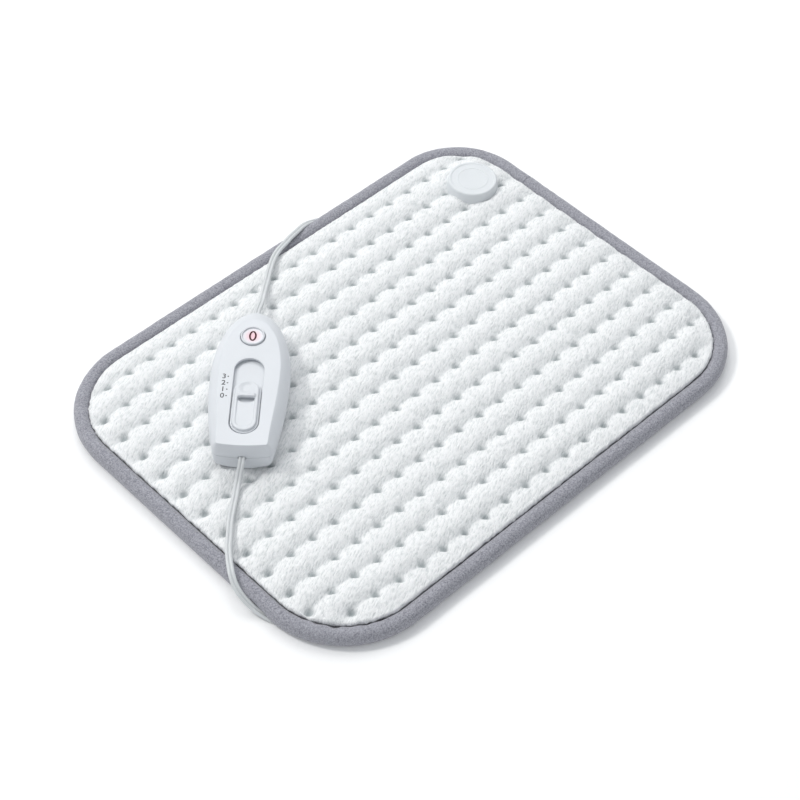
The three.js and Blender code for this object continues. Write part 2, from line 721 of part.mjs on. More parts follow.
function puckCap() {
  const topRadius = PUCK_TOP_DIAMETER / 2;
  const dish = 0.4;
  const shell = turned([
    [0, PUCK_CEILING],
    [NECK_RADIUS + CLEARANCE, PUCK_CEILING],
    [NECK_RADIUS + CLEARANCE, REST_Z],
    [PUCK_RADIUS, REST_Z],
    [PUCK_RADIUS, REST_Z + PUCK_WALL],
    [topRadius + dish, PUCK_TOP - 2 * dish],
    [topRadius - dish, PUCK_TOP],
    [topRadius - PUCK_WALL, PUCK_TOP],
    [topRadius - PUCK_WALL - dish, PUCK_TOP - dish],
    [0, PUCK_TOP - dish],
  ]);
  const bossTop = PUCK_CEILING + PUCK_WALL / 2;
  const pilotTop = PUCK_CEILING - PUCK_WALL;
  const bosses = puckScrewPlaces.map(([x, y]) => post(x, y, PUCK_BOSS, PUCK_PART + CLEARANCE, bossTop));
  const pilots = puckScrewPlaces.map(([x, y]) => post(x, y, PUCK_SCREW + 2 * CLEARANCE, 0, pilotTop));
  return without(joined(shell, ...bosses), ...pilots);
}

// Passage for the flat lead along the puck's lead direction.
function puckLeadPassage(from, to, margin) {
  const angle = radians(PUCK_LEAD_ANGLE);
  const along = (r) => at(r * Math.cos(angle), r * Math.sin(angle), PUCK_LEAD_HEIGHT);
  return swept([along(from), along(to)], flatSection(margin));
}

function puckBase() {
  const cup = turned([
    [0, PUCK_BOTTOM],
    [PUCK_RADIUS - PUCK_WALL, PUCK_BOTTOM],
    [PUCK_RADIUS, PUCK_FLOOR],
    [PUCK_RADIUS, PUCK_SHOULDER],
    [NECK_RADIUS, PUCK_SHOULDER],
    [NECK_RADIUS, NECK_TOP],
    [NECK_RADIUS - PUCK_WALL, NECK_TOP],
    [NECK_RADIUS - PUCK_WALL, PUCK_SHOULDER - PUCK_WALL],
    [PUCK_RADIUS - PUCK_WALL, PUCK_SHOULDER - PUCK_WALL],
    [PUCK_RADIUS - PUCK_WALL, PUCK_FLOOR],
    [0, PUCK_FLOOR],
  ]);
  const bossFoot = PUCK_BOTTOM + PUCK_WALL / 2;
  const bosses = puckScrewPlaces.map(([x, y]) => post(x, y, PUCK_BOSS, bossFoot, PUCK_PART));
  const holes = puckScrewPlaces.flatMap(([x, y]) => [
    post(x, y, PUCK_SCREW + 2 * CLEARANCE, 0, PUCK_TOP),
    post(x, y, PUCK_HEAD + 2 * CLEARANCE, 0, PUCK_HEAD_TOP + CLEARANCE),
  ]);
  const wireHole = WIRE_DIAMETER / 2 + CLEARANCE;
  const wirePassage = box(
    -wireHole, wireHole, -PUCK_RADIUS, PUCK_RADIUS, WIRE_Z - wireHole, WIRE_Z + wireHole,
  );
  const leadPassage = puckLeadPassage(NECK_RADIUS - PUCK_WALL, PUCK_RADIUS + PUCK_WALL, CLEARANCE);
  return without(joined(cup, ...bosses), ...holes, wirePassage, leadPassage);
}

// Screw with its head down, from the underside of its head to its tip.
function screw(x, y, headDiameter, headHeight, shankDiameter, underHead, tip) {
  const down = underHead < tip ? -1 : 1;
  const between = (a, b) => [Math.min(a, b), Math.max(a, b)];
  const head = post(x, y, headDiameter, ...between(underHead, underHead + down * headHeight));
  const shank = post(x, y, shankDiameter, ...between(underHead + (down * headHeight) / 2, tip));
  return joined(head, shank);
}

function puckTerminalBlock() {
  const top = WIRE_Z - WIRE_DIAMETER / 2 - CLEARANCE;
  const block = box(-3, 3, -5, 5, PUCK_FLOOR + CLEARANCE, top);
  const slots = [-1, 1].map((side) => box(-1, 1, side * 2.5 - 1, side * 2.5 + 1, top - 1.5, top + 1));
  return without(block, ...slots);
}

// Bridge that holds the flat lead down on the puck's floor.
function puckLeadClamp() {
  const under = PUCK_LEAD_HEIGHT + CORD_THICKNESS / 2 + CLEARANCE;
  const top = PUCK_SHOULDER - PUCK_WALL - CLEARANCE;
  const half = CORD_WIDTH / 2 + CLEARANCE;
  const bridge = box(-1.5, 1.5, -half - 1.6, half + 1.6, PUCK_FLOOR + CLEARANCE, top);
  const opening = box(-2, 2, -half, half, 0, under);
  return without(bridge, opening).translate(15, 0, 0).rotateZ(radians(PUCK_LEAD_ANGLE));
}

// Tapered sleeve round the flat lead, pointing along +X from x = 0.
function strainRelief(length, baseWidth, baseThickness, tipWidth, tipThickness) {
  const ring = (width, thickness, x) => roundSection(1, 12).map((p) => at(p.x * width, p.y * thickness, x));
  const cone = stacked([ring(baseWidth, baseThickness, 0), ring(tipWidth, tipThickness, length)]);
  const upright = cone.rotateX(Math.PI / 2).rotateZ(Math.PI / 2);
  return without(upright, swept([at(-1, 0, 0), at(length + 1, 0, 0)], flatSection(CLEARANCE)));
}

piece('puck_base', puckBase(), CASE_PLASTIC, puck);
piece('puck_cap', puckCap(), CASE_PLASTIC, puck);
piece('puck_terminal_block', puckTerminalBlock(), DARK_PLASTIC, puck);
piece('puck_lead_clamp', puckLeadClamp(), CASE_PLASTIC, puck);
const cutoutRadius = 2;
piece('thermal_cutout', post(0, 0, 2 * cutoutRadius, -4.5, 4.5).rotateX(Math.PI / 2)
  .translate(6.2, 0, PUCK_FLOOR + CLEARANCE + cutoutRadius), STEEL, puck);
puckScrewPlaces.forEach(([x, y], i) => {
  const tip = PUCK_CEILING - 3 * PUCK_WALL;
  const puckScrew = screw(x, y, PUCK_HEAD, PUCK_WALL, PUCK_SCREW, PUCK_HEAD_TOP, tip);
  piece(`puck_screw_${i + 1}`, puckScrew, STEEL, puck);
});
const puckRelief = strainRelief(20, 9, 7.4, 6.8, 4.8);
piece('puck_strain_relief', puckRelief.translate(PUCK_RADIUS + CLEARANCE, 0, PUCK_LEAD_HEIGHT)
  .rotateZ(radians(PUCK_LEAD_ANGLE)), CORD_VINYL, puck);

// Controller, drawn along X from its cord end and set down on the plush
const controller = new THREE.Group();
controller.position.set(CASE_X, CASE_Y, REST_Z);
controller.rotation.z = radians(CASE_HEADING);
part.add(controller);

const FLANK_STEPS = 6;
const NOSE_STEPS = 14;
const END_STEPS = 6;
const END_BULGE = 2.4;

// Case outline from above, drawn in at its sides and at both ends.
function caseOutline(side, near, far) {
  const fullHalf = CASE_FULL_WIDTH / 2;
  const narrowing = (CASE_FULL_WIDTH - CASE_NEAR_WIDTH) / 2;
  const left = [];
  for (let i = 0; i <= FLANK_STEPS; i++) {
    const along = THREE.MathUtils.lerp(near, CASE_FULL_AT, i / FLANK_STEPS);
    const half = fullHalf - side - narrowing * (1 - along / CASE_FULL_AT) ** 2;
    left.push(new THREE.Vector2(along, half));
  }
  const right = left.map((p) => new THREE.Vector2(p.x, -p.y));
  const nose = [];
  for (let i = 1; i < NOSE_STEPS; i++) {
    const angle = Math.PI * (i / NOSE_STEPS - 0.5);
    const along = CASE_FULL_AT + (CASE_LENGTH - far - CASE_FULL_AT) * Math.cos(angle);
    nose.push(new THREE.Vector2(along, (fullHalf - side) * Math.sin(angle)));
  }
  const end = [];
  for (let i = 1; i < END_STEPS; i++) {
    const across = 1 - (2 * i) / END_STEPS;
    end.push(new THREE.Vector2(near - END_BULGE * (1 - across ** 2), across * left[0].y));
  }
  return [...right, ...nose, ...left.toReversed(), ...end];
}

// Rounded edges of the case: height from its top or bottom face, then how far it is drawn in.
const TOP_EDGE = [
  [9, 0.5, 0, 0.8],
  [5.5, 1.9, 0.1, 3.2],
  [2.5, 4, 0.2, 7.5],
  [0.6, 5.8, 0.4, 12],
  [0, 7.5, 0.9, 15],
];
const BOTTOM_EDGE = [[0, 6, 1.8, 8], [2, 3.2, 0.7, 4], [5.5, 1, 0.2, 1.2]];

const caseRing = (z, side, near, far) => lifted(caseOutline(side, near, far), z);

// Places in pairs, one on each side of the case's middle line.
const paired = (places, half) => places.flatMap((along) => [[along, -half], [along, half]]);

const bossPlaces = paired([BOSS_NEAR_AT, BOSS_FAR_AT], BOSS_SPREAD / 2);
const CASE_SCREW = 2.8;
const CASE_HEAD = 5.6;
const CASE_HEAD_TOP = CASE_WALL + 2.5;

// Passages for both leads through the ends of the case.
function cordHoles(margin) {
  const near = swept(
    [at(-END_BULGE - 1, 0, SEAM_HEIGHT), at(2 * CASE_WALL, 0, SEAM_HEIGHT)],
    flatSection(margin),
  );
  const far = swept(
    [at(CASE_LENGTH - 4 * CASE_WALL, 0, SEAM_HEIGHT), at(CASE_LENGTH + 1, 0, SEAM_HEIGHT)],
    flatSection(margin),
  );
  return [near, far];
}

function stadium(start, length, width) {
  const radius = width / 2;
  const shape = new THREE.Path();
  shape.absarc(start + radius, 0, radius, Math.PI / 2, Math.PI * 1.5, false);
  shape.absarc(start + length - radius, 0, radius, -Math.PI / 2, Math.PI / 2, false);
  return shape.getPoints(8);
}

const RIB_WIDTH = 1.6;
const RIB_DEPTH = 2.9;
const DETENT_AT = STEM_MIDDLE - 6;
const DETENT_RIB = CARRIAGE_WIDTH / 2 + DETENT_SPACE;

// Ribs under the slot that guide the carriage; the left one has a notch for each level.
function guideRibs() {
  const start = CARRIAGE_START - 2 * RIB_WIDTH;
  const end = CARRIAGE_END + SLIDER_TRAVEL + RIB_WIDTH;
  const bottom = RECESS_UNDER - RIB_DEPTH;
  const rightFace = CARRIAGE_WIDTH / 2 + CLEARANCE;
  const root = RECESS_UNDER + SLOT_FLOOR / 2;
  const rightRib = box(start, end, -rightFace - RIB_WIDTH, -rightFace, bottom, root);
  const leftRib = box(start, end, DETENT_RIB, DETENT_RIB + RIB_WIDTH, bottom, root);
  const notches = Array.from({ length: LEVEL_COUNT }, (_, level) => {
    const middle = DETENT_AT + level * LEVEL_STEP;
    const corners = [[-1.4, -0.5], [1.4, -0.5], [0, 0.7]];
    const outline = corners.map(([x, y]) => new THREE.Vector2(middle + x, DETENT_RIB + y));
    return prism(outline, bottom - 1, CARRIAGE_TOP);
  });
  return joined(rightRib, without(leftRib, ...notches));
}

function caseTop() {
  const seam = SEAM_HEIGHT + CLEARANCE / 2;
  const outside = stacked([
    caseRing(seam, 0, 0, 0),
    ...TOP_EDGE.map(([below, ...drawn]) => caseRing(CASE_HEIGHT - below, ...drawn)),
  ]);
  const thicker = (drawn) => drawn.map((inset) => inset + CASE_WALL);
  const inside = stacked([
    caseRing(seam - 1, CASE_WALL, CASE_WALL, CASE_WALL),
    ...TOP_EDGE.map(([below, ...drawn]) => caseRing(CASE_HEIGHT - below - CASE_WALL, ...thicker(drawn))),
  ]);
  const tray = prism(
    stadium(SLOT_START - CASE_WALL, SLOT_LENGTH + 2 * CASE_WALL, SLOT_WIDTH + 2 * CASE_WALL),
    RECESS_UNDER,
    CASE_HEIGHT - CASE_WALL / 2,
  );
  const bosses = joined(...bossPlaces.map(([x, y]) => post(x, y, BOSS_DIAMETER, seam, CASE_HEIGHT)));
  const pilotTop = CASE_HEIGHT - 3 * CASE_WALL;
  const pilots = bossPlaces.map(([x, y]) => post(x, y, CASE_SCREW + 2 * CLEARANCE, 0, pilotTop));
  const recess = prism(stadium(SLOT_START, SLOT_LENGTH, SLOT_WIDTH), RECESS_FLOOR, CASE_HEIGHT + 1);
  const slitHalf = STEM_WIDTH / 2 + CLEARANCE;
  const slitEnd = SLIT_START + SLIT_LENGTH;
  const slit = box(SLIT_START, slitEnd, -slitHalf, slitHalf, RECESS_UNDER - 1, RECESS_FLOOR + 1);
  const windowDiameter = LENS_DIAMETER + 2 * CLEARANCE;
  const window = post(LENS_AT, 0, windowDiameter, RECESS_UNDER, CASE_HEIGHT + 1, ROUND_SIDES);
  const shell = joined(without(outside, inside), tray, shared(bosses, outside), guideRibs());
  return without(shell, recess, slit, window, ...pilots, ...cordHoles(2 * CLEARANCE));
}

const CLAMP_LENGTH = 4;
const CLAMP_SCREW_SPREAD = 11;
const CLAMP_WIDTH = 15.6;
const CLAMP_SCREW = 2;
const CLAMP_HEAD = 3.6;
const SADDLE_TOP = SEAM_HEIGHT - CORD_THICKNESS / 2 - CLEARANCE;
const clampPlaces = [2.5 + CASE_WALL, CASE_LENGTH - 12.5];

const clampScrewPlaces = paired(clampPlaces.map((x) => x + CLAMP_LENGTH / 2), CLAMP_SCREW_SPREAD / 2);
const CLAMP_TOP = SEAM_HEIGHT + CORD_THICKNESS / 2 + CLEARANCE + 1.8;
const boardPosts = paired([BOARD_START + 5, BOSS_FAR_AT - 11], BOARD_WIDTH / 2 - 4);

function caseBottom() {
  const seam = SEAM_HEIGHT - CLEARANCE / 2;
  const outside = stacked([
    ...BOTTOM_EDGE.map(([above, ...drawn]) => caseRing(above, ...drawn)),
    caseRing(seam, 0, 0, 0),
  ]);
  const thicker = (drawn) => drawn.map((inset) => inset + CASE_WALL);
  const inside = stacked([
    ...BOTTOM_EDGE.map(([above, ...drawn]) => caseRing(above + CASE_WALL, ...thicker(drawn))),
    caseRing(seam + 1, CASE_WALL, CASE_WALL, CASE_WALL),
  ]);
  const floor = CASE_WALL / 2;
  const bosses = bossPlaces.map(([x, y]) => post(x, y, BOSS_DIAMETER, floor, seam));
  const posts = boardPosts.map(([x, y]) => post(x, y, 4, floor, BOARD_HEIGHT - CLEARANCE));
  const half = CLAMP_WIDTH / 2;
  const saddles = clampPlaces.map((x) => box(x, x + CLAMP_LENGTH, -half, half, floor, SADDLE_TOP));
  const holes = bossPlaces.flatMap(([x, y]) => [
    post(x, y, CASE_SCREW + 2 * CLEARANCE, -1, CASE_HEIGHT),
    post(x, y, CASE_HEAD + 2 * CLEARANCE, -1, CASE_HEAD_TOP + CLEARANCE),
  ]);
  const pilotDiameter = CLAMP_SCREW + 2 * CLEARANCE;
  const pilots = clampScrewPlaces.map(([x, y]) => post(x, y, pilotDiameter, 2 * CASE_WALL, CASE_HEIGHT));
  const fittings = shared(joined(...bosses, ...posts, ...saddles), outside);
  const shell = joined(without(outside, inside), fittings);
  return without(shell, ...holes, ...pilots, ...cordHoles(2 * CLEARANCE));
}

// Bridge over a lead, screwed down on its saddle.
function cordClamp(x) {
  const half = CORD_WIDTH / 2 + CLEARANCE;
  const end = x + CLAMP_LENGTH;
  const overCord = SEAM_HEIGHT + CORD_THICKNESS / 2 + CLEARANCE;
  const bridge = box(x, end, -CLAMP_WIDTH / 2, CLAMP_WIDTH / 2, SADDLE_TOP + CLEARANCE, CLAMP_TOP);
  const opening = box(x - 1, end + 1, -half, half, 0, overCord);
  const holeDiameter = CLAMP_SCREW + 2 * CLEARANCE;
  const holes = clampScrewPlaces.map(([sx, sy]) => post(sx, sy, holeDiameter, 0, CASE_HEIGHT));
  return without(bridge, opening, ...holes);
}

function circuitBoard() {
  const half = BOARD_WIDTH / 2;
  const tongue = (BOSS_SPREAD - BOSS_DIAMETER) / 2 - 2 * CLEARANCE;
  const neck = BOSS_FAR_AT - BOSS_DIAMETER;
  const upper = [[BOARD_START, half], [neck, half], [neck + 2, tongue], [BOARD_END, tongue]];
  const lower = upper.map(([x, y]) => [x, -y]).reverse();
  const outline = [...upper, ...lower].map(([x, y]) => new THREE.Vector2(x, y));
  return prism(outline, BOARD_HEIGHT, BOARD_TOP);
}

function terminalBlock(start, length, screwsToward) {
  const top = SEAM_HEIGHT + CORD_THICKNESS - CLEARANCE;
  const block = box(start, start + length, -6, 6, ON_BOARD, top);
  const wellAt = start + length / 2 + screwsToward;
  const wells = [-3, 3].map((y) => post(wellAt, y, 2.6, top - 2, top + 1));
  return without(block, ...wells);
}

// Knob: a rounded plate with a finger ridge, a hollow before it and a shallow recess.
function sliderKnob() {
  const bottom = RECESS_FLOOR + CLEARANCE;
  const top = CASE_HEIGHT + KNOB_PROUD;
  const ridgeAt = KNOB_START + KNOB_LENGTH - RIDGE_FROM_END;
  const plate = prism(stadium(KNOB_START, KNOB_LENGTH, KNOB_WIDTH), bottom, top - 0.8);
  const crown = prism(stadium(KNOB_START + 1.2, KNOB_LENGTH - 2.4, KNOB_WIDTH - 2.4), bottom, top);
  const ridgeProfile = [[-2.2, -1], [-1.6, RIDGE_HEIGHT], [0.2, RIDGE_HEIGHT + 0.2], [2.4, -1]];
  const ridgeHalf = KNOB_WIDTH / 2 - 3;
  const ridge = prism(ridgeProfile.map(([x, z]) => new THREE.Vector2(x, z)), -ridgeHalf, ridgeHalf)
    .rotateX(Math.PI / 2).translate(ridgeAt, 0, top);
  const recessHalf = KNOB_WIDTH / 2 - 3.2;
  const recess = box(KNOB_START + 9, ridgeAt - 4.2, -recessHalf, recessHalf, top - 1.2, top + 5);
  const hollow = post(ridgeAt - 2.2, 0, 2 * ridgeHalf - 1, top - 2, top + 5, ROUND_SIDES);
  const hollowHalf = shared(hollow, box(ridgeAt - 20, ridgeAt - 2.2, -20, 20, 0, top + 5));
  const stemHalf = STEM_WIDTH / 2;
  const stemEnd = STEM_START + STEM_LENGTH;
  const stem = box(STEM_START, stemEnd, -stemHalf, stemHalf, CARRIAGE_BOTTOM, bottom + 1);
  const pilot = post(STEM_MIDDLE, 0, SLIDER_SCREW + 2 * CLEARANCE, 0, RECESS_FLOOR);
  return without(joined(plate, crown, ridge, stem), recess, hollowHalf, pilot);
}

const SLIDER_SCREW = 2.2;
const SLIDER_HEAD = 10;
const SLIDER_HEAD_HEIGHT = 1.5;
const CARRIAGE_START = STEM_START - CARRIAGE_BEFORE_STEM;
const CARRIAGE_END = STEM_START + STEM_LENGTH + CARRIAGE_PAST_STEM;

function sliderCarriage() {
  const half = CARRIAGE_WIDTH / 2;
  const plate = box(CARRIAGE_START, CARRIAGE_END, -half, half, CARRIAGE_BOTTOM, CARRIAGE_TOP);
  const gap = STEM_WIDTH / 2 + CLEARANCE;
  const end = STEM_START + STEM_LENGTH + CLEARANCE;
  return without(plate, box(STEM_START - CLEARANCE, end, -gap, gap, CARRIAGE_BOTTOM - 1, CARRIAGE_TOP + 1));
}

// Bowed leaf between the carriage's side and the notched rib.
function detentSpring() {
  const foot = CARRIAGE_WIDTH / 2 + CLEARANCE;
  const tip = DETENT_RIB - CLEARANCE;
  const leaf = 0.4;
  const outline = [
    [-8, foot], [-5, foot], [-1.2, tip - leaf], [1.2, tip - leaf], [5, foot], [8, foot],
    [8, foot + leaf], [5.2, foot + leaf], [1.2, tip], [-1.2, tip], [-5.2, foot + leaf], [-8, foot + leaf],
  ];
  const shape = outline.map(([x, y]) => new THREE.Vector2(DETENT_AT + x, y));
  return prism(shape, CARRIAGE_BOTTOM + CLEARANCE, CARRIAGE_TOP - CLEARANCE);
}

const WIPER_FOOT = CARRIAGE_END + 2;
const PAD_THICKNESS = 0.4;
const RAIL_Y = 3.4;

// Bent strip under the carriage that reaches down to the level contacts.
function wiperContact() {
  const top = CARRIAGE_BOTTOM - CLEARANCE;
  const foot = ON_BOARD + PAD_THICKNESS + CLEARANCE;
  const strip = 0.5;
  const start = STEM_START + STEM_LENGTH + 4;
  const profile = [
    [start, top],
    [CARRIAGE_END - 6, top],
    [WIPER_FOOT - 1, foot + strip],
    [WIPER_FOOT + 2, foot + strip],
    [WIPER_FOOT + 2, foot],
    [WIPER_FOOT - 1.5, foot],
    [CARRIAGE_END - 6.5, top - strip],
    [start, top - strip],
  ].map(([x, z]) => new THREE.Vector2(x, z));
  return prism(profile, -RAIL_Y - 1, RAIL_Y + 1).rotateX(Math.PI / 2);
}

function indicatorLens() {
  const ceiling = CASE_HEIGHT - CASE_WALL;
  const flangeTop = ceiling - CLEARANCE;
  const radius = LENS_DIAMETER / 2;
  const top = CASE_HEIGHT + LENS_PROUD;
  return turned([
    [0, flangeTop - 1.5],
    [radius + LENS_FLANGE, flangeTop - 1.5],
    [radius + LENS_FLANGE, flangeTop],
    [radius, flangeTop],
    [radius, top - 0.5],
    [radius - 0.6, top],
    [0, top],
  ]).translate(LENS_AT, 0, 0);
}

function lightWell() {
  const top = CASE_HEIGHT - CASE_WALL - 2 * CLEARANCE - 1.5;
  const outside = box(LENS_AT - 6, LENS_AT + 6, -6, 6, ON_BOARD, top);
  return without(outside, box(LENS_AT - 4.8, LENS_AT + 4.8, -4.8, 4.8, 0, CASE_HEIGHT));
}

const LAMP_PROFILE = [[0, 0], [2.5, 0], [2.5, 3], [1.6, 4.6], [0, 5.2]];
const lamp = turned(LAMP_PROFILE.map(([radius, up]) => [radius, ON_BOARD + up]), SMALL_SIDES);

piece('controller_bottom_shell', caseBottom(), CASE_PLASTIC, controller);
piece('controller_top_shell', caseTop(), CASE_PLASTIC, controller);
piece('circuit_board', circuitBoard(), BOARD_GREEN, controller);
piece('indicator_lens', indicatorLens(), CLEAR_PLASTIC, controller);
piece('light_well', lightWell(), CASE_PLASTIC, controller);
piece('indicator_lamp', lamp.translate(LENS_AT, 0, 0), RED_LAMP, controller);
for (let level = 0; level < LEVEL_COUNT; level++) {
  const middle = WIPER_FOOT + 0.5 + level * LEVEL_STEP;
  const pad = box(middle - 2, middle + 2, RAIL_Y - 1.4, RAIL_Y + 1.4, ON_BOARD, ON_BOARD + PAD_THICKNESS);
  piece(`level_contact_${level}`, pad, BRASS, controller);
}
const railStart = WIPER_FOOT - 2;
const railEnd = WIPER_FOOT + SLIDER_TRAVEL + 3;
const rail = box(railStart, railEnd, -RAIL_Y - 1.4, -RAIL_Y + 1.4, ON_BOARD, ON_BOARD + PAD_THICKNESS);
piece('contact_rail', rail, BRASS, controller);
piece('mains_terminal_block', terminalBlock(BOARD_START + 2 * CLEARANCE, 7, 1), DARK_PLASTIC, controller);
piece('pad_terminal_block', terminalBlock(BOARD_END - 7, 7, -1), DARK_PLASTIC, controller);
const fuseRadius = 2.5;
piece('fuse', post(0, 0, 2 * fuseRadius, 0, 20).rotateY(Math.PI / 2)
  .translate(BOARD_START + 14, BOARD_WIDTH / 2 - 4, ON_BOARD + fuseRadius), CLEAR_PLASTIC, controller);
const boardSide = -BOARD_WIDTH / 2 + 1;
function onBoard(from, length, width, height) {
  const start = BOARD_START + from;
  return box(start, start + length, boardSide, boardSide + width, ON_BOARD, ON_BOARD + height);
}
piece('capacitor', onBoard(12, 18, 6, 6.2), HEATER, controller);
piece('power_switch', onBoard(44, 10, 4.5, 6), DARK_PLASTIC, controller);
piece('mains_cord_clamp', cordClamp(clampPlaces[0]), CASE_PLASTIC, controller);
piece('pad_cord_clamp', cordClamp(clampPlaces[1]), CASE_PLASTIC, controller);
clampScrewPlaces.forEach(([x, y], i) => {
  const clampScrew = screw(x, y, CLAMP_HEAD, 1.4, CLAMP_SCREW, CLAMP_TOP + CLEARANCE, 3 * CASE_WALL);
  piece(`clamp_screw_${i + 1}`, clampScrew, STEEL, controller);
});
bossPlaces.forEach(([x, y], i) => {
  const caseScrew = screw(x, y, CASE_HEAD, 2, CASE_SCREW, CASE_HEAD_TOP, CASE_HEIGHT - 4 * CASE_WALL);
  piece(`case_screw_${i + 1}`, caseScrew, STEEL, controller);
});

// Slider: everything that travels with the knob
const underCarriage = CARRIAGE_BOTTOM - CLEARANCE;
const sliderScrew = screw(
  STEM_MIDDLE, 0, SLIDER_HEAD, SLIDER_HEAD_HEIGHT, SLIDER_SCREW, underCarriage, RECESS_UNDER,
);
piece('slider_knob', sliderKnob(), CASE_PLASTIC, controller);
piece('slider_carriage', sliderCarriage(), DARK_PLASTIC, controller);
piece('slider_screw', sliderScrew, STEEL, controller);
piece('detent_spring', detentSpring(), STEEL, controller);
piece('wiper_contact', wiperContact(), BRASS, controller);

// Mains lead hank: loops in two layers, spiralling in below and out again above, with a tied waist
const RUN_STEPS = 4;
const TURN_STEPS = 8;
const LOOP_STEPS = 2 * (RUN_STEPS + TURN_STEPS);

// Point of a loop, counted in steps from the start of its first run.
function loopPoint(step, radius, z) {
  const within = step % LOOP_STEPS;
  const halfTurns = Math.floor(within / (LOOP_STEPS / 2));
  const local = within % (LOOP_STEPS / 2);
  const side = halfTurns === 0 ? 1 : -1;
  if (local <= RUN_STEPS) {
    const x = HANK_RUN * (local / RUN_STEPS - 0.5);
    const waist = (HANK_WAIST * (1 + Math.cos((2 * Math.PI * x) / HANK_RUN))) / 2;
    return at(HANK_X + side * x, HANK_Y - side * (radius - waist), z);
  }
  const angle = radians(-90 + (180 * (local - RUN_STEPS)) / TURN_STEPS);
  const x = HANK_RUN / 2 + radius * Math.cos(angle);
  return at(HANK_X + side * x, HANK_Y + side * radius * Math.sin(angle), z);
}

function hankRoute() {
  const inSteps = HANK_LOOPS * LOOP_STEPS;
  const outSteps = (HANK_LOOPS - 0.5) * LOOP_STEPS;
  const points = [HANK_ENTRY];
  for (let step = 0; step <= inSteps; step++) {
    points.push(loopPoint(step, HANK_OUTER_RADIUS - (HANK_PITCH * step) / LOOP_STEPS, HANK_LOWER_Z));
  }
  for (let step = 1; step <= RUN_STEPS; step++) {
    const climb = THREE.MathUtils.lerp(HANK_LOWER_Z, HANK_UPPER_Z, step / RUN_STEPS);
    points.push(loopPoint(step, HANK_INNER_RADIUS, climb));
  }
  for (let step = 1; step <= outSteps; step++) {
    const radius = HANK_INNER_RADIUS + (HANK_PITCH * step) / LOOP_STEPS;
    points.push(loopPoint(RUN_STEPS + step, radius, HANK_UPPER_Z));
  }
  points.push(points.at(-1).clone().add(at(-CORD_WIDTH, 0, 0)));
  return points;
}

// Least gap of the hank to itself, measured on points along its centre line.
function leastGap(points) {
  const spacing = 2;
  const path = new THREE.CurvePath();
  for (let i = 0; i + 1 < points.length; i++) {
    path.add(new THREE.LineCurve3(points[i], points[i + 1]));
  }
  const count = Math.round(path.getLength() / spacing);
  const samples = path.getSpacedPoints(count);
  const apart = Math.ceil((8 * CORD_WIDTH) / spacing);
  let least = Infinity;
  for (let i = 0; i < samples.length; i++) {
    for (let j = i + apart; j < samples.length; j++) {
      const sideways = Math.hypot(samples[i].x - samples[j].x, samples[i].y - samples[j].y) - CORD_WIDTH;
      const upwards = Math.abs(samples[i].z - samples[j].z) - CORD_THICKNESS;
      least = Math.min(least, Math.max(sideways, upwards));
    }
  }
  return least;
}

const hexSection = [[1, 0], [0.7, 1], [-0.7, 1], [-1, 0], [-0.7, -1], [0.7, -1]]
  .map(([x, y]) => new THREE.Vector2((x * CORD_WIDTH) / 2, (y * CORD_THICKNESS) / 2));
const hank = hankRoute();
console.log(`hank: least gap to itself ${leastGap(hank).toFixed(2)} mm`);

const lengthOf = (points) => points.slice(1).reduce((sum, p, i) => sum + p.distanceTo(points[i]), 0);

// Tie round the waist of the hank
function cordTie() {
  const half = HANK_OUTER_RADIUS - HANK_WAIST + CORD_WIDTH / 2 + CLEARANCE;
  const low = HANK_LOWER_Z - CORD_THICKNESS / 2 - CLEARANCE;
  const high = HANK_UPPER_Z + CORD_THICKNESS / 2 + CLEARANCE;
  const outerHalf = half + TIE_THICKNESS;
  const outer = box(
    -TIE_WIDTH / 2, TIE_WIDTH / 2, -outerHalf, outerHalf, low - TIE_THICKNESS, high + TIE_THICKNESS,
  );
  return without(outer, box(-TIE_WIDTH, TIE_WIDTH, -half, half, low, high)).translate(HANK_X, HANK_Y, 0);
}

// Plug, lying flat with its blades towards +X
const PLUG_Z = CLEARANCE + PLUG_THICKNESS / 2;
const PLUG_BODY_X = PLUG_X + RELIEF_LENGTH + CLEARANCE;
const BLADE_ROOT = 8;

function plugBody() {
  const ring = (x, width, thickness) => roundedSection(width, thickness).map((p) => at(p.x, p.y, x));
  const body = stacked([
    ring(0, PLUG_WIDTH - 10, PLUG_THICKNESS - 1.2),
    ring(8, PLUG_WIDTH - 1, PLUG_THICKNESS),
    ring(PLUG_LENGTH - 1.5, PLUG_WIDTH, PLUG_THICKNESS),
    ring(PLUG_LENGTH, PLUG_WIDTH - 2, PLUG_THICKNESS - 1.6),
  ]).rotateX(Math.PI / 2).rotateZ(Math.PI / 2).translate(PLUG_BODY_X, PLUG_Y, PLUG_Z);
  const sockets = [-1, 1].map((side) => plugBlade(side, CLEARANCE));
  return without(body, ...sockets);
}

// Rectangle with cut corners.
function roundedSection(width, thickness) {
  const cutBack = 2;
  const [w, t] = [width / 2, thickness / 2];
  const corners = [[w, -t + cutBack], [w, t - cutBack], [w - cutBack, t], [-w + cutBack, t]];
  const others = corners.map(([x, y]) => [-x, -y]);
  return [...corners, ...others].map(([x, y]) => new THREE.Vector2(x, y));
}

function plugBlade(side, margin = 0) {
  const middle = PLUG_Y + (side * BLADE_SPACING) / 2;
  const face = PLUG_BODY_X + PLUG_LENGTH;
  const thick = BLADE_THICKNESS / 2 + margin;
  const wide = BLADE_WIDTH / 2 + margin;
  const root = face - BLADE_ROOT - margin;
  return box(root, face + BLADE_LENGTH, middle - thick, middle + thick, PLUG_Z - wide, PLUG_Z + wide);
}

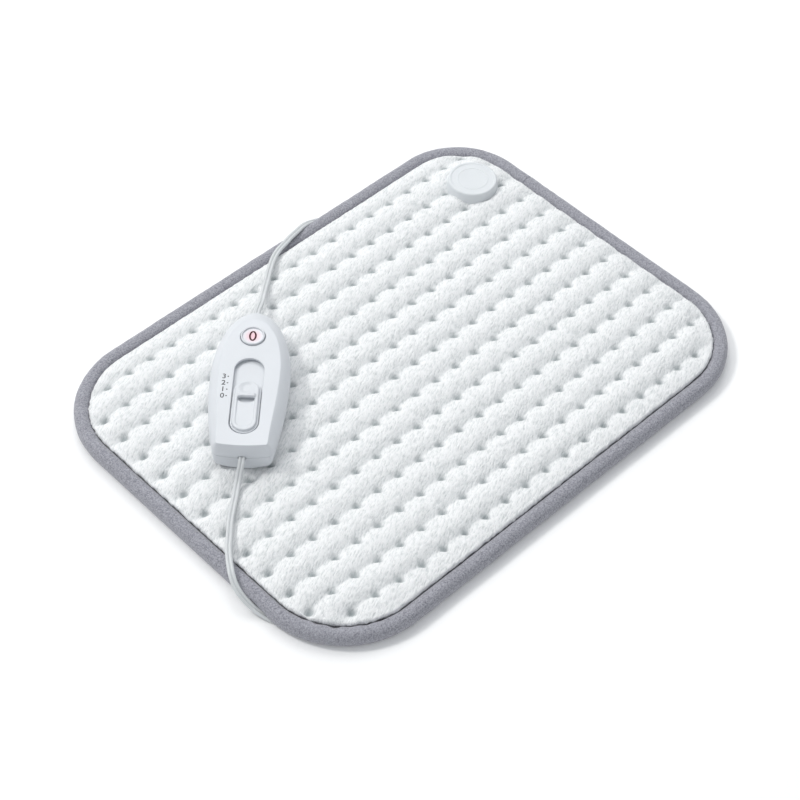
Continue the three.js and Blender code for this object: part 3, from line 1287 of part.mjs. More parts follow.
const tailRoute = laidRoute([
  hank.at(-1).clone().add(at(-CLEARANCE, 0, 0)),
  hank.at(-1).clone().add(at(-12, 0.4, -0.4)),
  fromLeft(57, -57, 4.4),
  fromLeft(45.5, -46, 3.2),
  fromLeft(44.5, -31, 3),
  fromLeft(54, -20.5, 3.4),
  fromLeft(68, -18, 4.4),
  at(PLUG_X - 24, PLUG_Y, PLUG_Z),
  at(PLUG_X - 6, PLUG_Y, PLUG_Z),
  at(PLUG_X + RELIEF_LENGTH, PLUG_Y, PLUG_Z),
]);

piece('pad_lead', swept(padRoute, flatSection()), CORD_VINYL);
piece('mains_lead', swept(mainsRoute, flatSection()), CORD_VINYL);
piece('mains_lead_hank', swept(hank, hexSection), CORD_VINYL);
piece('mains_lead_tail', swept(tailRoute, flatSection()), CORD_VINYL);
piece('cord_tie', cordTie(), CORD_VINYL);
piece('plug_body', plugBody(), CORD_VINYL);
const plugRelief = strainRelief(RELIEF_LENGTH, 10, 8.4, 7, 5).rotateZ(Math.PI);
piece('plug_strain_relief', plugRelief.translate(PLUG_X + RELIEF_LENGTH, PLUG_Y, PLUG_Z), CORD_VINYL);
[-1, 1].forEach((side, i) => piece(`plug_blade_${i + 1}`, plugBlade(side), BRASS));

const mainsLength = lengthOf(mainsRoute) + lengthOf(hank) + lengthOf(tailRoute);
console.log(`mains lead ${mainsLength.toFixed(0)} mm, pad lead ${lengthOf(padRoute).toFixed(0)} mm`);

export default part;
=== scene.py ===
import json
import math

import bmesh
import bpy
import numpy as np
from mathutils import Matrix, Vector, noise


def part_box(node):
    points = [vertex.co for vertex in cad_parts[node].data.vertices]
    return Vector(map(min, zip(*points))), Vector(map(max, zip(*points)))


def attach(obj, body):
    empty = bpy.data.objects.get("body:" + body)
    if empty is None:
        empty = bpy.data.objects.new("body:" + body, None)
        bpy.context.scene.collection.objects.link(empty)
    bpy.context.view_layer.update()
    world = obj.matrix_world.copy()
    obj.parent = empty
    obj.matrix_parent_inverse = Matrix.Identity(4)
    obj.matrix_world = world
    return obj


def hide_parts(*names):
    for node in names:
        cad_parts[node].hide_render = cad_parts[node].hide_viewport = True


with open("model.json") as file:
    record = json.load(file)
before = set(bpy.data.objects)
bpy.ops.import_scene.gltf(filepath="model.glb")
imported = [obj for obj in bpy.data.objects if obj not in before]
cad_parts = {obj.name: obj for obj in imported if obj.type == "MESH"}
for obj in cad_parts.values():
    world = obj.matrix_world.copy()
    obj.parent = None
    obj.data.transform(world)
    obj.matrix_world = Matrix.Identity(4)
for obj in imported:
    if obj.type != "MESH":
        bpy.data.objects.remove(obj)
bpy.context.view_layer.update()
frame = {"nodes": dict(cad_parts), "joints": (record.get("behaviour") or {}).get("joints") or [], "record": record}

# Lengths below are in millimetres, in the part's own frame, until a mesh is made.
MM = 0.001

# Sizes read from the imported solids
pad_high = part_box("edge_binding")[1] / MM
HALF_LENGTH = pad_high.x
HALF_WIDTH = pad_high.y
BINDING_HEIGHT = pad_high.z
CROWN_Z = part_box("top_cover")[1].z / MM
REST_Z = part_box("controller_bottom_shell")[0].z / MM
puck_low, puck_high = (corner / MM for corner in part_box("puck_cap"))
PUCK_X = (puck_low.x + puck_high.x) / 2
PUCK_Y = (puck_low.y + puck_high.y) / 2
PUCK_RADIUS = (puck_high.x - puck_low.x) / 2
HEADING = math.atan2(frame["joints"][0]["axis"][1], frame["joints"][0]["axis"][0])

# Pad
CORNER_RADIUS = 72
PUCK_CORNER_RADIUS = 60
BINDING_WIDTH = 12
TUFT_PITCH_X = 20.3
TUFT_PITCH_Y = 22.8
TUFT_SHIFT_X = -5.6
TUFT_SHIFT_Y = -4.2
TUFT_SLANT = 0.0145
TUFT_INSET = 14.5
NECK_RADIUS = 17.5
NECK_MARGIN = 0.8

# Controller, along (u), across (v) and up (w) from the middle of its cord end
CASE_X = -153.5
CASE_Y = 7
CASE_LENGTH = 134
CASE_NEAR_WIDTH = 42.5
CASE_FULL_WIDTH = 58.5
CASE_FULL_AT = 70
CASE_HEIGHT = 24.5
CASE_WALL = 2
SEAM_HEIGHT = 12.2
SLOT_START = 9.9
SLOT_LENGTH = 71
SLOT_WIDTH = 21.6
SLOT_DEPTH = 3.2
SLOT_FLOOR = 1.6
KNOB_START = 11.4
KNOB_LENGTH = 48.5
KNOB_WIDTH = 20
KNOB_TOP = 25.3
RIDGE_AT = 44.1
LENS_AT = 102.4
LENS_DIAMETER = 17.8
LEVEL_STEP = 6.1
LEVEL_FIRST = 44.4
LEVEL_SIDE = 17.5
LEVEL_DOT_SIDE = 14.6

# Leads
CORD_WIDTH = 5
LOBE_RADIUS = 1.3
LOBE_SIDE = 1.2
LOBE_POINTS = 10
CORD_STEP = 2.5
HANK_X = -86
HANK_Y = -88
HANK_RUN = 95
HANK_INNER_RADIUS = 15
HANK_PITCH = 6.6
HANK_WAIST = 6
HANK_LOOPS = 2
HANK_LOWER_Z = 3.1
HANK_UPPER_Z = 6.7
PLUG_X = -112
PLUG_Y = -18
PLUG_Z = 5.2
PLUG_GAP = 0.3
RELIEF_LENGTH = 22
RELIEF_RIBS = 6
RELIEF_GROOVE = 0.82
RELIEF_POWER = 2.2
PLUG_POWER = 3.4
TIE_POWER = 7
TIE_SIDES = 64


# Small helpers
def smoothstep(value, low, high):
    """Smooth rise from 0 at low to 1 at high."""
    t = np.clip((np.asarray(value, float) - low) / (high - low), 0, 1)
    return t * t * (3 - 2 * t)


def quarter_round(t):
    """Rise from 0 to 1 along a quarter of a circle."""
    return np.sqrt(1 - (1 - np.clip(t, 0, 1)) ** 2)


def smooth_curve(points, step):
    """Centripetal curve through points, as rows about one step apart."""
    points = np.asarray(points, float)
    ends = np.vstack([2 * points[0] - points[1], points, 2 * points[-1] - points[-2]])
    rows = []
    for a, b, c, d in zip(ends, ends[1:], ends[2:], ends[3:]):
        gaps = [max(np.linalg.norm(q - p), 1e-9) ** 0.5 for p, q in ((a, b), (b, c), (c, d))]
        lead_in = ((b - a) / gaps[0] - (c - a) / (gaps[0] + gaps[1]) + (c - b) / gaps[1]) * gaps[1]
        lead_out = ((c - b) / gaps[1] - (d - b) / (gaps[1] + gaps[2]) + (d - c) / gaps[2]) * gaps[1]
        count = max(2, round(np.linalg.norm(c - b) / step))
        for t in np.arange(count)[:, None] / count:
            rows.append(
                (2 * t**3 - 3 * t**2 + 1) * b
                + (t**3 - 2 * t**2 + t) * lead_in
                + (3 * t**2 - 2 * t**3) * c
                + (t**3 - t**2) * lead_out
            )
    return np.vstack([*rows, points[-1:]])


def noise_at(points, size, seed):
    """Smooth noise from -1 to 1 at each point, with features of about that size."""
    shift = Vector((seed * 17.3, seed * 5.9, seed * 11.1))
    return np.array([noise.noise(Vector(p) / size + shift) for p in points])


def layered_noise(points, layers):
    """Sum of layers of noise, each with a height, a size and a seed."""
    return sum(height * noise_at(points, size, seed) for height, size, seed in layers)


CASE_PLACE = Matrix.Translation((CASE_X, CASE_Y, REST_Z)) @ Matrix.Rotation(HEADING, 4, "Z")


def on_case(u, v, w):
    """Place in the part's frame of a point in the controller's own frame."""
    return np.array(CASE_PLACE @ Vector((u, v, w)))


def new_object(name, vertices, faces, place=Matrix()):
    """Mesh object from vertices in millimetres, with its faces turned outwards."""
    mesh = bpy.data.meshes.new(name)
    mesh.from_pydata([place @ Vector(v) * MM for v in vertices], [], faces)
    shape = bmesh.new()
    shape.from_mesh(mesh)
    bmesh.ops.remove_doubles(shape, verts=shape.verts, dist=1e-7)
    bmesh.ops.recalc_face_normals(shape, faces=shape.faces)
    shape.to_mesh(mesh)
    shape.free()
    piece = bpy.data.objects.new(name, mesh)
    bpy.context.scene.collection.objects.link(piece)
    return piece


def dress(piece, slot, replaced=(), body="pad", sharp_angle=35, material=None):
    """Gives a piece its material and shading, its body and the solids that it stands for."""
    piece.data.materials.clear()
    piece.data.materials.append(MATERIALS[material or slot])
    piece.data.shade_smooth()
    piece.data.set_sharp_from_angle(angle=math.radians(sharp_angle))
    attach(piece, body)
    if replaced:
        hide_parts(*replaced)
    return piece


def bands(lower, upper, count):
    """Quads between two closed rows of points of equal count."""
    return [(lower + i, lower + (i + 1) % count, upper + (i + 1) % count, upper + i) for i in range(count)]


def loft(rings, looped=False):
    """Vertices and faces of a body through rings of equal count, with flat ends or joined in a loop."""
    count = len(rings[0])
    vertices = [tuple(p) for ring in rings for p in ring]
    faces = [] if looped else [tuple(range(count))[::-1]]
    for level in range(len(rings) if looped else len(rings) - 1):
        faces += bands(level * count, (level + 1) % len(rings) * count, count)
    if not looped:
        faces.append(tuple(range(len(vertices) - count, len(vertices))))
    return vertices, faces


ON_AXIS = 0.001
ARC_POINTS = 5
ROUND_SIDES = 96


def turned(profile, sides=ROUND_SIDES):
    """Vertices and faces of a body of revolution about Z from [radius, height] pairs."""
    angles = np.arange(sides) * 2 * math.pi / sides
    rings = []
    for radius, height in profile:
        ring = np.column_stack([radius * np.cos(angles), radius * np.sin(angles), np.full(sides, height)])
        rings.append(ring)
    return loft(rings)


def rounded_profile(profile, radius):
    """Profile with each inner corner rounded by an arc of up to that radius."""
    points = np.asarray(profile, float)
    rows = [points[0]]
    for before, corner, after in zip(points, points[1:], points[2:]):
        reach = min(radius, np.linalg.norm(before - corner) / 2, np.linalg.norm(after - corner) / 2)
        start = corner + (before - corner) / np.linalg.norm(before - corner) * reach
        end = corner + (after - corner) / np.linalg.norm(after - corner) * reach
        for t in np.linspace(0, 1, ARC_POINTS):
            rows.append((1 - t) ** 2 * start + 2 * t * (1 - t) * corner + t**2 * end)
    rows.append(points[-1])
    return rows


def lifted(plan, height):
    """Ring of a plan at a height."""
    return np.column_stack([plan, np.full(len(plan), height)])


def cut(piece, tools):
    """Cuts tools from a piece and removes the tools."""
    for tool in tools:
        modifier = piece.modifiers.new(tool.name, "BOOLEAN")
        modifier.operation = "DIFFERENCE"
        modifier.object = tool
        modifier.solver = "EXACT"
    bpy.context.view_layer.update()
    graph = bpy.context.evaluated_depsgraph_get()
    mesh = bpy.data.meshes.new_from_object(piece.evaluated_get(graph))
    piece.modifiers.clear()
    piece.data = mesh
    for tool in tools:
        bpy.data.objects.remove(tool)


# Camera, matched to the photograph
CAMERA_PLACE = Vector((-688.3, -691.05, 1108.8))
CAMERA_RIGHT = Vector((0.72301, -0.69070, 0.01417))
CAMERA_FORWARD = Vector((0.45824, 0.46412, -0.75803))
CAMERA_LENS = 88.85
CAMERA_SENSOR = 36


def make_camera():
    """Camera that sees the pad as the photograph does."""
    data = bpy.data.cameras.new("camera")
    data.lens = CAMERA_LENS
    data.sensor_width = CAMERA_SENSOR
    camera = bpy.data.objects.new("camera", data)
    up = CAMERA_RIGHT.cross(CAMERA_FORWARD)
    turn = Matrix((CAMERA_RIGHT, up, -CAMERA_FORWARD)).transposed().to_4x4()
    camera.matrix_world = Matrix.Translation(CAMERA_PLACE * MM) @ turn
    bpy.context.scene.collection.objects.link(camera)
    bpy.context.scene.camera = camera


# Materials
def set_inputs(node, values):
    """Puts constants on a node's sockets."""
    for socket, value in values.items():
        node.inputs[socket].default_value = value


def add_node(tree, kind, values=None):
    """New shader node with constants on its sockets."""
    node = tree.nodes.new("ShaderNode" + kind)
    set_inputs(node, values or {})
    return node


def shader(name, color, roughness, values=None):
    """New material and its principled shader."""
    material = bpy.data.materials.new(name)
    material.use_nodes = True
    bsdf = material.node_tree.nodes["Principled BSDF"]
    set_inputs(bsdf, {"Base Color": (*color, 1), "Roughness": roughness, **(values or {})})
    return material, bsdf


def add_noise(material, scale, detail=2.0, stretch=(1, 1, 1), roughness=0.5, turn=0.0):
    """Noise over the object's own coordinates, in features per metre, stretched along a turned X."""
    tree = material.node_tree
    place = add_node(tree, "TexCoord")
    mapping = add_node(tree, "Mapping", {"Rotation": (0, 0, turn), "Scale": stretch})
    mapping.vector_type = "TEXTURE"
    texture = add_node(tree, "TexNoise", {"Scale": scale, "Detail": detail, "Roughness": roughness})
    tree.links.new(place.outputs["Object"], mapping.inputs["Vector"])
    tree.links.new(mapping.outputs["Vector"], texture.inputs["Vector"])
    return texture.outputs["Fac"]


def add_tint(material, factor, dark, light, low=0.3, high=0.7):
    """Base colour that runs from dark to light with a factor."""
    tree = material.node_tree
    ramp = add_node(tree, "ValToRGB")
    for stop, position, color in zip(ramp.color_ramp.elements, (low, high), (dark, light)):
        stop.position = position
        stop.color = (*color, 1)
    tree.links.new(factor, ramp.inputs["Fac"])
    tree.links.new(ramp.outputs["Color"], tree.nodes["Principled BSDF"].inputs["Base Color"])
    return ramp.outputs["Color"]


def add_bump(material, factor, depth, strength, before=None):
    """Bump of a depth in millimetres from a factor, on top of an earlier bump."""
    tree = material.node_tree
    bump = add_node(tree, "Bump", {"Distance": depth * MM, "Strength": strength})
    tree.links.new(factor, bump.inputs["Height"])
    if before is not None:
        tree.links.new(before, bump.inputs["Normal"])
    tree.links.new(bump.outputs["Normal"], tree.nodes["Principled BSDF"].inputs["Normal"])
    return bump.outputs["Normal"]


PILE_TURN = math.radians(27)
MIX_FIRST_COLOR = 6
MIX_SECOND_COLOR = 7
MIX_COLOR_RESULT = 2


def plush_material():
    """White pile, with painted shade in its tuft pits and on the near slope of each ridge."""
    fabric = {"Sheen Weight": 0.2, "Sheen Roughness": 0.6, "Specular IOR Level": 0.1}
    material, bsdf = shader("plush", (0.90, 0.91, 0.92), 0.95, fabric)
    tree = material.node_tree
    pile = add_noise(material, 760, detail=3, stretch=(3.2, 0.85, 1.6), roughness=0.65, turn=PILE_TURN)
    clumps = add_noise(material, 230)
    color = add_tint(material, pile, (0.70, 0.725, 0.73), (0.952, 0.957, 0.962), 0.32, 0.54)
    # Painted shade: a share kept on each point multiplies the pile's colour towards a dark grey.
    painted_pit_shade = add_node(tree, "Attribute")
    painted_pit_shade.attribute_name = "painted_pit_shade"
    painted_shade_mix = add_node(tree, "Mix")
    painted_shade_mix.data_type = "RGBA"
    painted_shade_mix.blend_type = "MULTIPLY"
    tree.links.new(painted_pit_shade.outputs["Fac"], painted_shade_mix.inputs["Factor"])
    tree.links.new(color, painted_shade_mix.inputs[MIX_FIRST_COLOR])
    set_inputs(painted_shade_mix, {MIX_SECOND_COLOR: (0.39, 0.425, 0.435, 1)})
    tree.links.new(painted_shade_mix.outputs[MIX_COLOR_RESULT], bsdf.inputs["Base Color"])
    coarse = add_bump(material, clumps, 1.0, 0.6)
    add_bump(material, pile, 1.2, 1.0, coarse)
    return material


def felt_material():
    """Grey felt with paler fibres."""
    fabric = {"Sheen Weight": 0.25, "Sheen Roughness": 0.5, "Specular IOR Level": 0.15}
    material, _ = shader("felt", (0.27, 0.27, 0.31), 0.9, fabric)
    fibres = add_noise(material, 900, detail=4, roughness=0.75)
    add_tint(material, fibres, (0.17, 0.17, 0.197), (0.50, 0.50, 0.55), 0.32, 0.68)
    add_bump(material, fibres, 0.45, 0.9)
    return material


def fleece_material():
    """Plain pale fleece."""
    material, _ = shader("fleece", (0.74, 0.75, 0.77), 0.95, {"Sheen Weight": 0.2})
    fibres = add_noise(material, 800, detail=4, roughness=0.65)
    add_tint(material, fibres, (0.62, 0.63, 0.65), (0.80, 0.81, 0.83))
    add_bump(material, fibres, 0.4, 0.7)
    return material


def plastic_material(name, dark, light, roughness):
    """Moulded plastic: faint cloudiness in its colour and a fine grain."""
    material, _ = shader(name, light, roughness)
    add_tint(material, add_noise(material, 40), dark, light)
    add_bump(material, add_noise(material, 2600, detail=1), 0.02, 0.35)
    return material


def metal_material(name, dark, light, roughness):
    """Brushed metal."""
    material, _ = shader(name, light, roughness, {"Metallic": 1.0})
    brushed = add_noise(material, 900, detail=3, stretch=(16, 1, 1))
    add_tint(material, brushed, dark, light)
    add_bump(material, brushed, 0.02, 0.4)
    return material


def glass_material():
    """Clear glass with a faint smear."""
    material, _ = shader("fuse_glass", (0.85, 0.88, 0.90), 0.05, {"Transmission Weight": 0.9})
    add_tint(material, add_noise(material, 300), (0.80, 0.83, 0.86), (0.92, 0.94, 0.95))
    return material


# Window's colours, a painted pink glow, at shares of the glow's reach, from the figure out to the rim
GLOW_REACH = 10
GLOW_STOPS = (
    (0.20, (0.80, 0.50, 0.56)),
    (0.60, (0.74, 0.68, 0.72)),
    (0.71, (0.70, 0.71, 0.75)),
    (0.76, (0.645, 0.667, 0.70)),
)


def window_material():
    """Milky window with a painted pink glow round its lit figure, in a rim like the case."""
    gloss = {"Coat Weight": 0.1, "Coat Roughness": 0.08}
    material, bsdf = shader("lens", (0.80, 0.80, 0.84), 0.25, gloss)
    tree = material.node_tree
    place = add_node(tree, "TexCoord")
    away = add_node(tree, "VectorMath", {1: on_case(LENS_AT, 0, CASE_HEIGHT) * MM})
    away.operation = "DISTANCE"
    tree.links.new(place.outputs["Object"], away.inputs[0])
    glow = add_node(tree, "MapRange", {"From Min": 0.0, "From Max": GLOW_REACH * MM})
    tree.links.new(away.outputs["Value"], glow.inputs["Value"])
    ramp = add_node(tree, "ValToRGB")
    stops = ramp.color_ramp.elements
    for stop, (position, color) in zip(stops, (GLOW_STOPS[0], GLOW_STOPS[-1])):
        stop.position = position
        stop.color = (*color, 1)
    for position, color in GLOW_STOPS[1:-1]:
        stops.new(position).color = (*color, 1)
    tree.links.new(glow.outputs["Result"], ramp.inputs["Fac"])
    tree.links.new(ramp.outputs["Color"], bsdf.inputs["Base Color"])
    return material


def figure_material():
    """Dark red figure, lit a little from inside."""
    lit = {"Specular IOR Level": 0.2, "Emission Color": (0.5, 0.03, 0.06, 1), "Emission Strength": 0.015}
    material, _ = shader("lamp_red", (0.05, 0.004, 0.01), 0.5, lit)
    add_tint(material, add_noise(material, 1500), (0.04, 0.003, 0.008), (0.06, 0.006, 0.013))
    return material


MATERIALS = {
    "plush": plush_material(),
    "felt": felt_material(),
    "fleece": fleece_material(),
    "heater": plastic_material("heater", (0.45, 0.15, 0.08), (0.58, 0.22, 0.11), 0.5),
    "case_plastic": plastic_material("case_plastic", (0.648, 0.67, 0.70), (0.678, 0.70, 0.733), 0.36),
    # Painted light: the case's plastic again, made lighter so that the puck's wall looks more brightly lit.
    "case_plastic_painted_light": plastic_material("case_plastic_painted_light", (0.69, 0.715, 0.735), (0.72, 0.745, 0.765), 0.6),
    "dark_plastic": plastic_material("dark_plastic", (0.04, 0.04, 0.048), (0.06, 0.06, 0.07), 0.45),
    "lens": window_material(),
    "lamp_red": figure_material(),
    "fuse_glass": glass_material(),
    "board": plastic_material("board", (0.02, 0.12, 0.05), (0.04, 0.17, 0.08), 0.5),
    "steel": metal_material("steel", (0.45, 0.46, 0.48), (0.62, 0.63, 0.65), 0.32),
    "brass": metal_material("brass", (0.55, 0.38, 0.13), (0.70, 0.50, 0.20), 0.3),
    "cord_vinyl": plastic_material("cord_vinyl", (0.60, 0.62, 0.63), (0.66, 0.68, 0.69), 0.42),
}


# Leads: routes chosen, as in the part's own source
HANK_OUTER_RADIUS = HANK_INNER_RADIUS + HANK_LOOPS * HANK_PITCH
HANK_ENTRY = np.array([HANK_X - HANK_RUN / 2 - CORD_WIDTH, HANK_Y - HANK_OUTER_RADIUS, HANK_LOWER_Z])
PUCK_LEAD_ANGLE = math.radians(225)
PUCK_LEAD_Z = 5


def on_puck_lead(outwards):
    """Place on the puck's lead, that far from the puck's middle."""
    x = PUCK_X + outwards * math.cos(PUCK_LEAD_ANGLE)
    return (x, PUCK_Y + outwards * math.sin(PUCK_LEAD_ANGLE), PUCK_LEAD_Z)


MAINS_ROUTE = [
    on_case(17.3, 0, SEAM_HEIGHT),
    on_case(4, 0, SEAM_HEIGHT),
    on_case(-6, 0, SEAM_HEIGHT - 0.2),
    (-161.6, 0.4, 27.2), (-167.6, -3.9, 22.6), (-178.2, -12.7, 20.9), (-190.7, -23.3, 20.7),
    (-201.9, -34.7, 20.5), (-208.8, -42, 19.8), (-214.3, -49.5, 18.2), (-219.5, -57.9, 16.7),
    (-222.8, -66.4, 13.8), (-223.2, -74.1, 10), (-222, -81.1, 6.4), (-219.7, -89, 3.7),
    (-216, -97.5, 2.2), (-209, -106, 2), (-195, -113, 2.2), (-168, -116, 2.7),
    HANK_ENTRY + (-14, 0, 0),
    HANK_ENTRY + (-0.3, 0, 0),
]

PAD_ROUTE = [
    on_case(119.3, 0, SEAM_HEIGHT),
    on_case(131, 0, SEAM_HEIGHT),
    on_case(140, 0, SEAM_HEIGHT - 1),
    (-44.4, 112.2, 28), (-34.3, 121.3, 24), (-24.4, 129.7, 21.4), (-13.2, 138.7, 20.7),
    (-3.7, 145.7, 20.2), (6.7, 151.7, 18.6), (17, 155.6, 17), (26.5, 158.8, 15.9),
    (34.6, 161, 14.8), (44.3, 164, 12.6), (52.4, 165.4, 9.6), (58.5, 166.2, 6.4),
    (65, 165.6, 4), (72, 163.2, 2.6), (79.5, 158, 2), (87, 148.5, 2),
    (92.5, 132, 2), (96, 110, 2), (101, 88, 2),
    (PUCK_X - 59, PUCK_Y - 29, 2.4),
    (PUCK_X - 46, PUCK_Y - 37, 3.6),
    on_puck_lead(44),
    on_puck_lead(36),
    on_puck_lead(21.5),
    on_puck_lead(9),
]

TAIL_POINTS = [
    (-163, -57, 4.4), (-174.5, -46, 3.2), (-175.5, -31, 3), (-166, -20.5, 3.4),
    (-152, -18, 4.4),
    (-136, PLUG_Y, PLUG_Z),
    (-118, PLUG_Y, PLUG_Z),
    (-90, PLUG_Y, PLUG_Z),
]

RUN_STEPS = 24
TURN_STEPS = 24
LOOP_STEPS = 2 * (RUN_STEPS + TURN_STEPS)


def loop_point(step, radius, height):
    """Point of a loop of the hank, counted in steps from the start of its first run."""
    half_turns, local = divmod(step % LOOP_STEPS, LOOP_STEPS // 2)
    side = 1 if half_turns == 0 else -1
    if local <= RUN_STEPS:
        x = HANK_RUN * (local / RUN_STEPS - 0.5)
        waist = HANK_WAIST * (1 + math.cos(2 * math.pi * x / HANK_RUN)) / 2
        return (HANK_X + side * x, HANK_Y - side * (radius - waist), height)
    angle = math.pi * ((local - RUN_STEPS) / TURN_STEPS - 0.5)
    x = HANK_RUN / 2 + radius * math.cos(angle)
    return (HANK_X + side * x, HANK_Y + side * radius * math.sin(angle), height)


def hank_route():
    """Loops in two layers, spiralling in below and out again above."""
    points = [tuple(HANK_ENTRY)]
    for step in range(HANK_LOOPS * LOOP_STEPS + 1):
        points.append(loop_point(step, HANK_OUTER_RADIUS - HANK_PITCH * step / LOOP_STEPS, HANK_LOWER_Z))
    for step in range(1, RUN_STEPS + 1):
        climb = HANK_LOWER_Z + (HANK_UPPER_Z - HANK_LOWER_Z) * step / RUN_STEPS
        points.append(loop_point(step, HANK_INNER_RADIUS, climb))
    for step in range(1, int((HANK_LOOPS - 0.5) * LOOP_STEPS) + 1):
        radius = HANK_INNER_RADIUS + HANK_PITCH * step / LOOP_STEPS
        points.append(loop_point(RUN_STEPS + step, radius, HANK_UPPER_Z))
    x, y, z = points[-1]
    points.append((x - CORD_WIDTH, y, z))
    return np.array(points)


def twin_section():
    """Section of the flat two-core cord: two round lobes with a groove between them."""
    groove = math.acos(LOBE_SIDE / LOBE_RADIUS)
    angles = np.linspace(groove - math.pi, math.pi - groove, LOBE_POINTS)[1:]
    right = np.column_stack([LOBE_SIDE + LOBE_RADIUS * np.cos(angles), LOBE_RADIUS * np.sin(angles)])
    return np.vstack([right, -right])


def flat_cord(name, points):
    """Cord whose flat side stays level, swept along points."""
    points = np.asarray(points, float)
    along = np.gradient(points, axis=0)
    along /= np.linalg.norm(along, axis=1)[:, None]
    sideways = np.cross(along, (0, 0, 1))
    sideways /= np.linalg.norm(sideways, axis=1)[:, None]
    upwards = np.cross(sideways, along)
    section = twin_section()
    rings = [p + section[:, :1] * s + section[:, 1:] * u for p, s, u in zip(points, sideways, upwards)]
    return new_object(name, *loft(rings))


def make_cords():
    """Both leads with what hangs on them. Gives back their routes."""
    hank = hank_route()
    tail = [hank[-1] + (-0.3, 0, 0), hank[-1] + (-12, 0.4, -0.4), *TAIL_POINTS]
    mains = np.vstack([smooth_curve(MAINS_ROUTE, CORD_STEP), hank, smooth_curve(tail, CORD_STEP)])
    pad = smooth_curve(PAD_ROUTE, CORD_STEP)

    mains_cord = flat_cord("mains_cord", mains)
    dress(mains_cord, "cord_vinyl", ["mains_lead", "mains_lead_hank", "mains_lead_tail"])
    relief_place = Matrix.Translation((PLUG_X + RELIEF_LENGTH, PLUG_Y, PLUG_Z))
    make_tie()
    make_plug()
    make_relief("plug_relief", relief_place, "plug_strain_relief", (10, 8.4), (7, 5), RELIEF_LENGTH)

    pad_cord = flat_cord("pad_cord", pad)
    dress(pad_cord, "cord_vinyl", ["pad_lead"])
    return mains, pad


def oval(width, thickness, power, sides=40):
    """Rounded plan section, flatter on its sides than an ellipse."""
    angles = np.arange(sides) * 2 * math.pi / sides
    c, s = np.cos(angles), np.sin(angles)
    x = np.sign(c) * np.abs(c) ** (2 / power) * width / 2
    y = np.sign(s) * np.abs(s) ** (2 / power) * thickness / 2
    return np.column_stack([x, y])


def along_x(section, x):
    """Ring of a section that stands across X."""
    return np.column_stack([np.full(len(section), x), section])


# Places along the plug, each with its width and thickness
PLUG_SHAPE = [
    (0, 13, 8.4), (1.2, 14.4, 8.9), (4, 18.5, 9.4), (8, 22.4, 9.8),
    (11, 23.4, 9.8), (11.6, 22.8, 9.2), (12.4, 22.8, 9.2), (13, 23.6, 9.8),
    (28, 24, 9.8), (29.4, 23.4, 9.2), (30, 22, 8),
]


def make_plug():
    """Plug body, from its strain relief on."""
    start = PLUG_X + RELIEF_LENGTH + PLUG_GAP
    rings = [along_x(oval(width, thickness, PLUG_POWER), x) for x, width, thickness in PLUG_SHAPE]
    plug = new_object("plug", *loft(rings), Matrix.Translation((start, PLUG_Y, PLUG_Z)))
    return dress(plug, "cord_vinyl", ["plug_body"])


def make_relief(name, place, node, base, tip, length):
    """Tapered ribbed sleeve, from its base at x = 0 back along -X."""
    rings = []
    steps = RELIEF_RIBS * 4
    for i in range(steps + 1):
        t = i / steps
        groove = RELIEF_GROOVE if i % 4 in (2, 3) and 0 < i < steps else 1
        width = (base[0] + (tip[0] - base[0]) * t) * groove
        thickness = (base[1] + (tip[1] - base[1]) * t) * groove
        rings.append(along_x(oval(width, thickness, RELIEF_POWER), -length * t))
    relief = new_object(name, *loft(rings), place)
    return dress(relief, "cord_vinyl", [node])


def make_tie():
    """Flat strap round the waist of the hank."""
    low, high = (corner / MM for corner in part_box("cord_tie"))
    size = high - low
    half = size.x / 2
    edge = [(half - 0.4, 0), (half, 0.2), (half, 0.5), (half - 0.4, 0.7)]
    section = [(-x, inset) for x, inset in edge] + [(x, inset) for x, inset in reversed(edge)]
    rings = []
    for x, inset in section:
        rings.append(along_x(oval(size.y - 2 * inset, size.z - 2 * inset, TIE_POWER, TIE_SIDES), x))
    tie = new_object("hank_tie", *loft(rings, looped=True), Matrix.Translation((low + high) / 2))
    return dress(tie, "cord_vinyl", ["cord_tie"])


# Pad
def corner_radius(x, y):
    """Radius of the pad's corner on a place's side."""
    return np.where((x > 0) & (y > 0), PUCK_CORNER_RADIUS, CORNER_RADIUS)


def pad_inset(x, y):
    """Distance inwards from the pad's outer line."""
    radius = corner_radius(x, y)
    past_x = np.abs(x) - (HALF_LENGTH - radius)
    past_y = np.abs(y) - (HALF_WIDTH - radius)
    corner = np.hypot(np.maximum(past_x, 0), np.maximum(past_y, 0))
    return radius - corner - np.minimum(np.maximum(past_x, past_y), 0)


def reach_at(y, side, inset):
    """How far a row at y reaches to one side, for an outline drawn in by inset."""
    radius = corner_radius(np.asarray(side), np.asarray(y)) - inset
    past = np.maximum(np.abs(y) - (HALF_WIDTH - inset - radius), 0)
    return HALF_LENGTH - inset - radius + np.sqrt(np.maximum(radius**2 - past**2, 0))


EDGE_STEPS = np.array([0, 0.3, 0.7, 1.2, 1.8, 2.6, 3.6, 4.8, 6.2])


def edge_spaced(low, high, count):
    """Places from low to high, close together at both ends and even between."""
    inner = np.linspace(low + EDGE_STEPS[-1], high - EDGE_STEPS[-1], count)
    return np.concatenate([low + EDGE_STEPS[:-1], inner, high - EDGE_STEPS[-2::-1]])


def pad_grid(inset, pitch):
    """Grid of places over the pad's rounded outline, drawn in by inset."""
    ys = edge_spaced(-HALF_WIDTH + inset, HALF_WIDTH - inset, round(2 * HALF_WIDTH / pitch))
    columns = round(2 * HALF_LENGTH / pitch)
    rows = [edge_spaced(-reach_at(y, -1, inset), reach_at(y, 1, inset), columns) for y in ys]
    xs = np.array(rows)
    return xs, np.broadcast_to(ys[:, None], xs.shape)


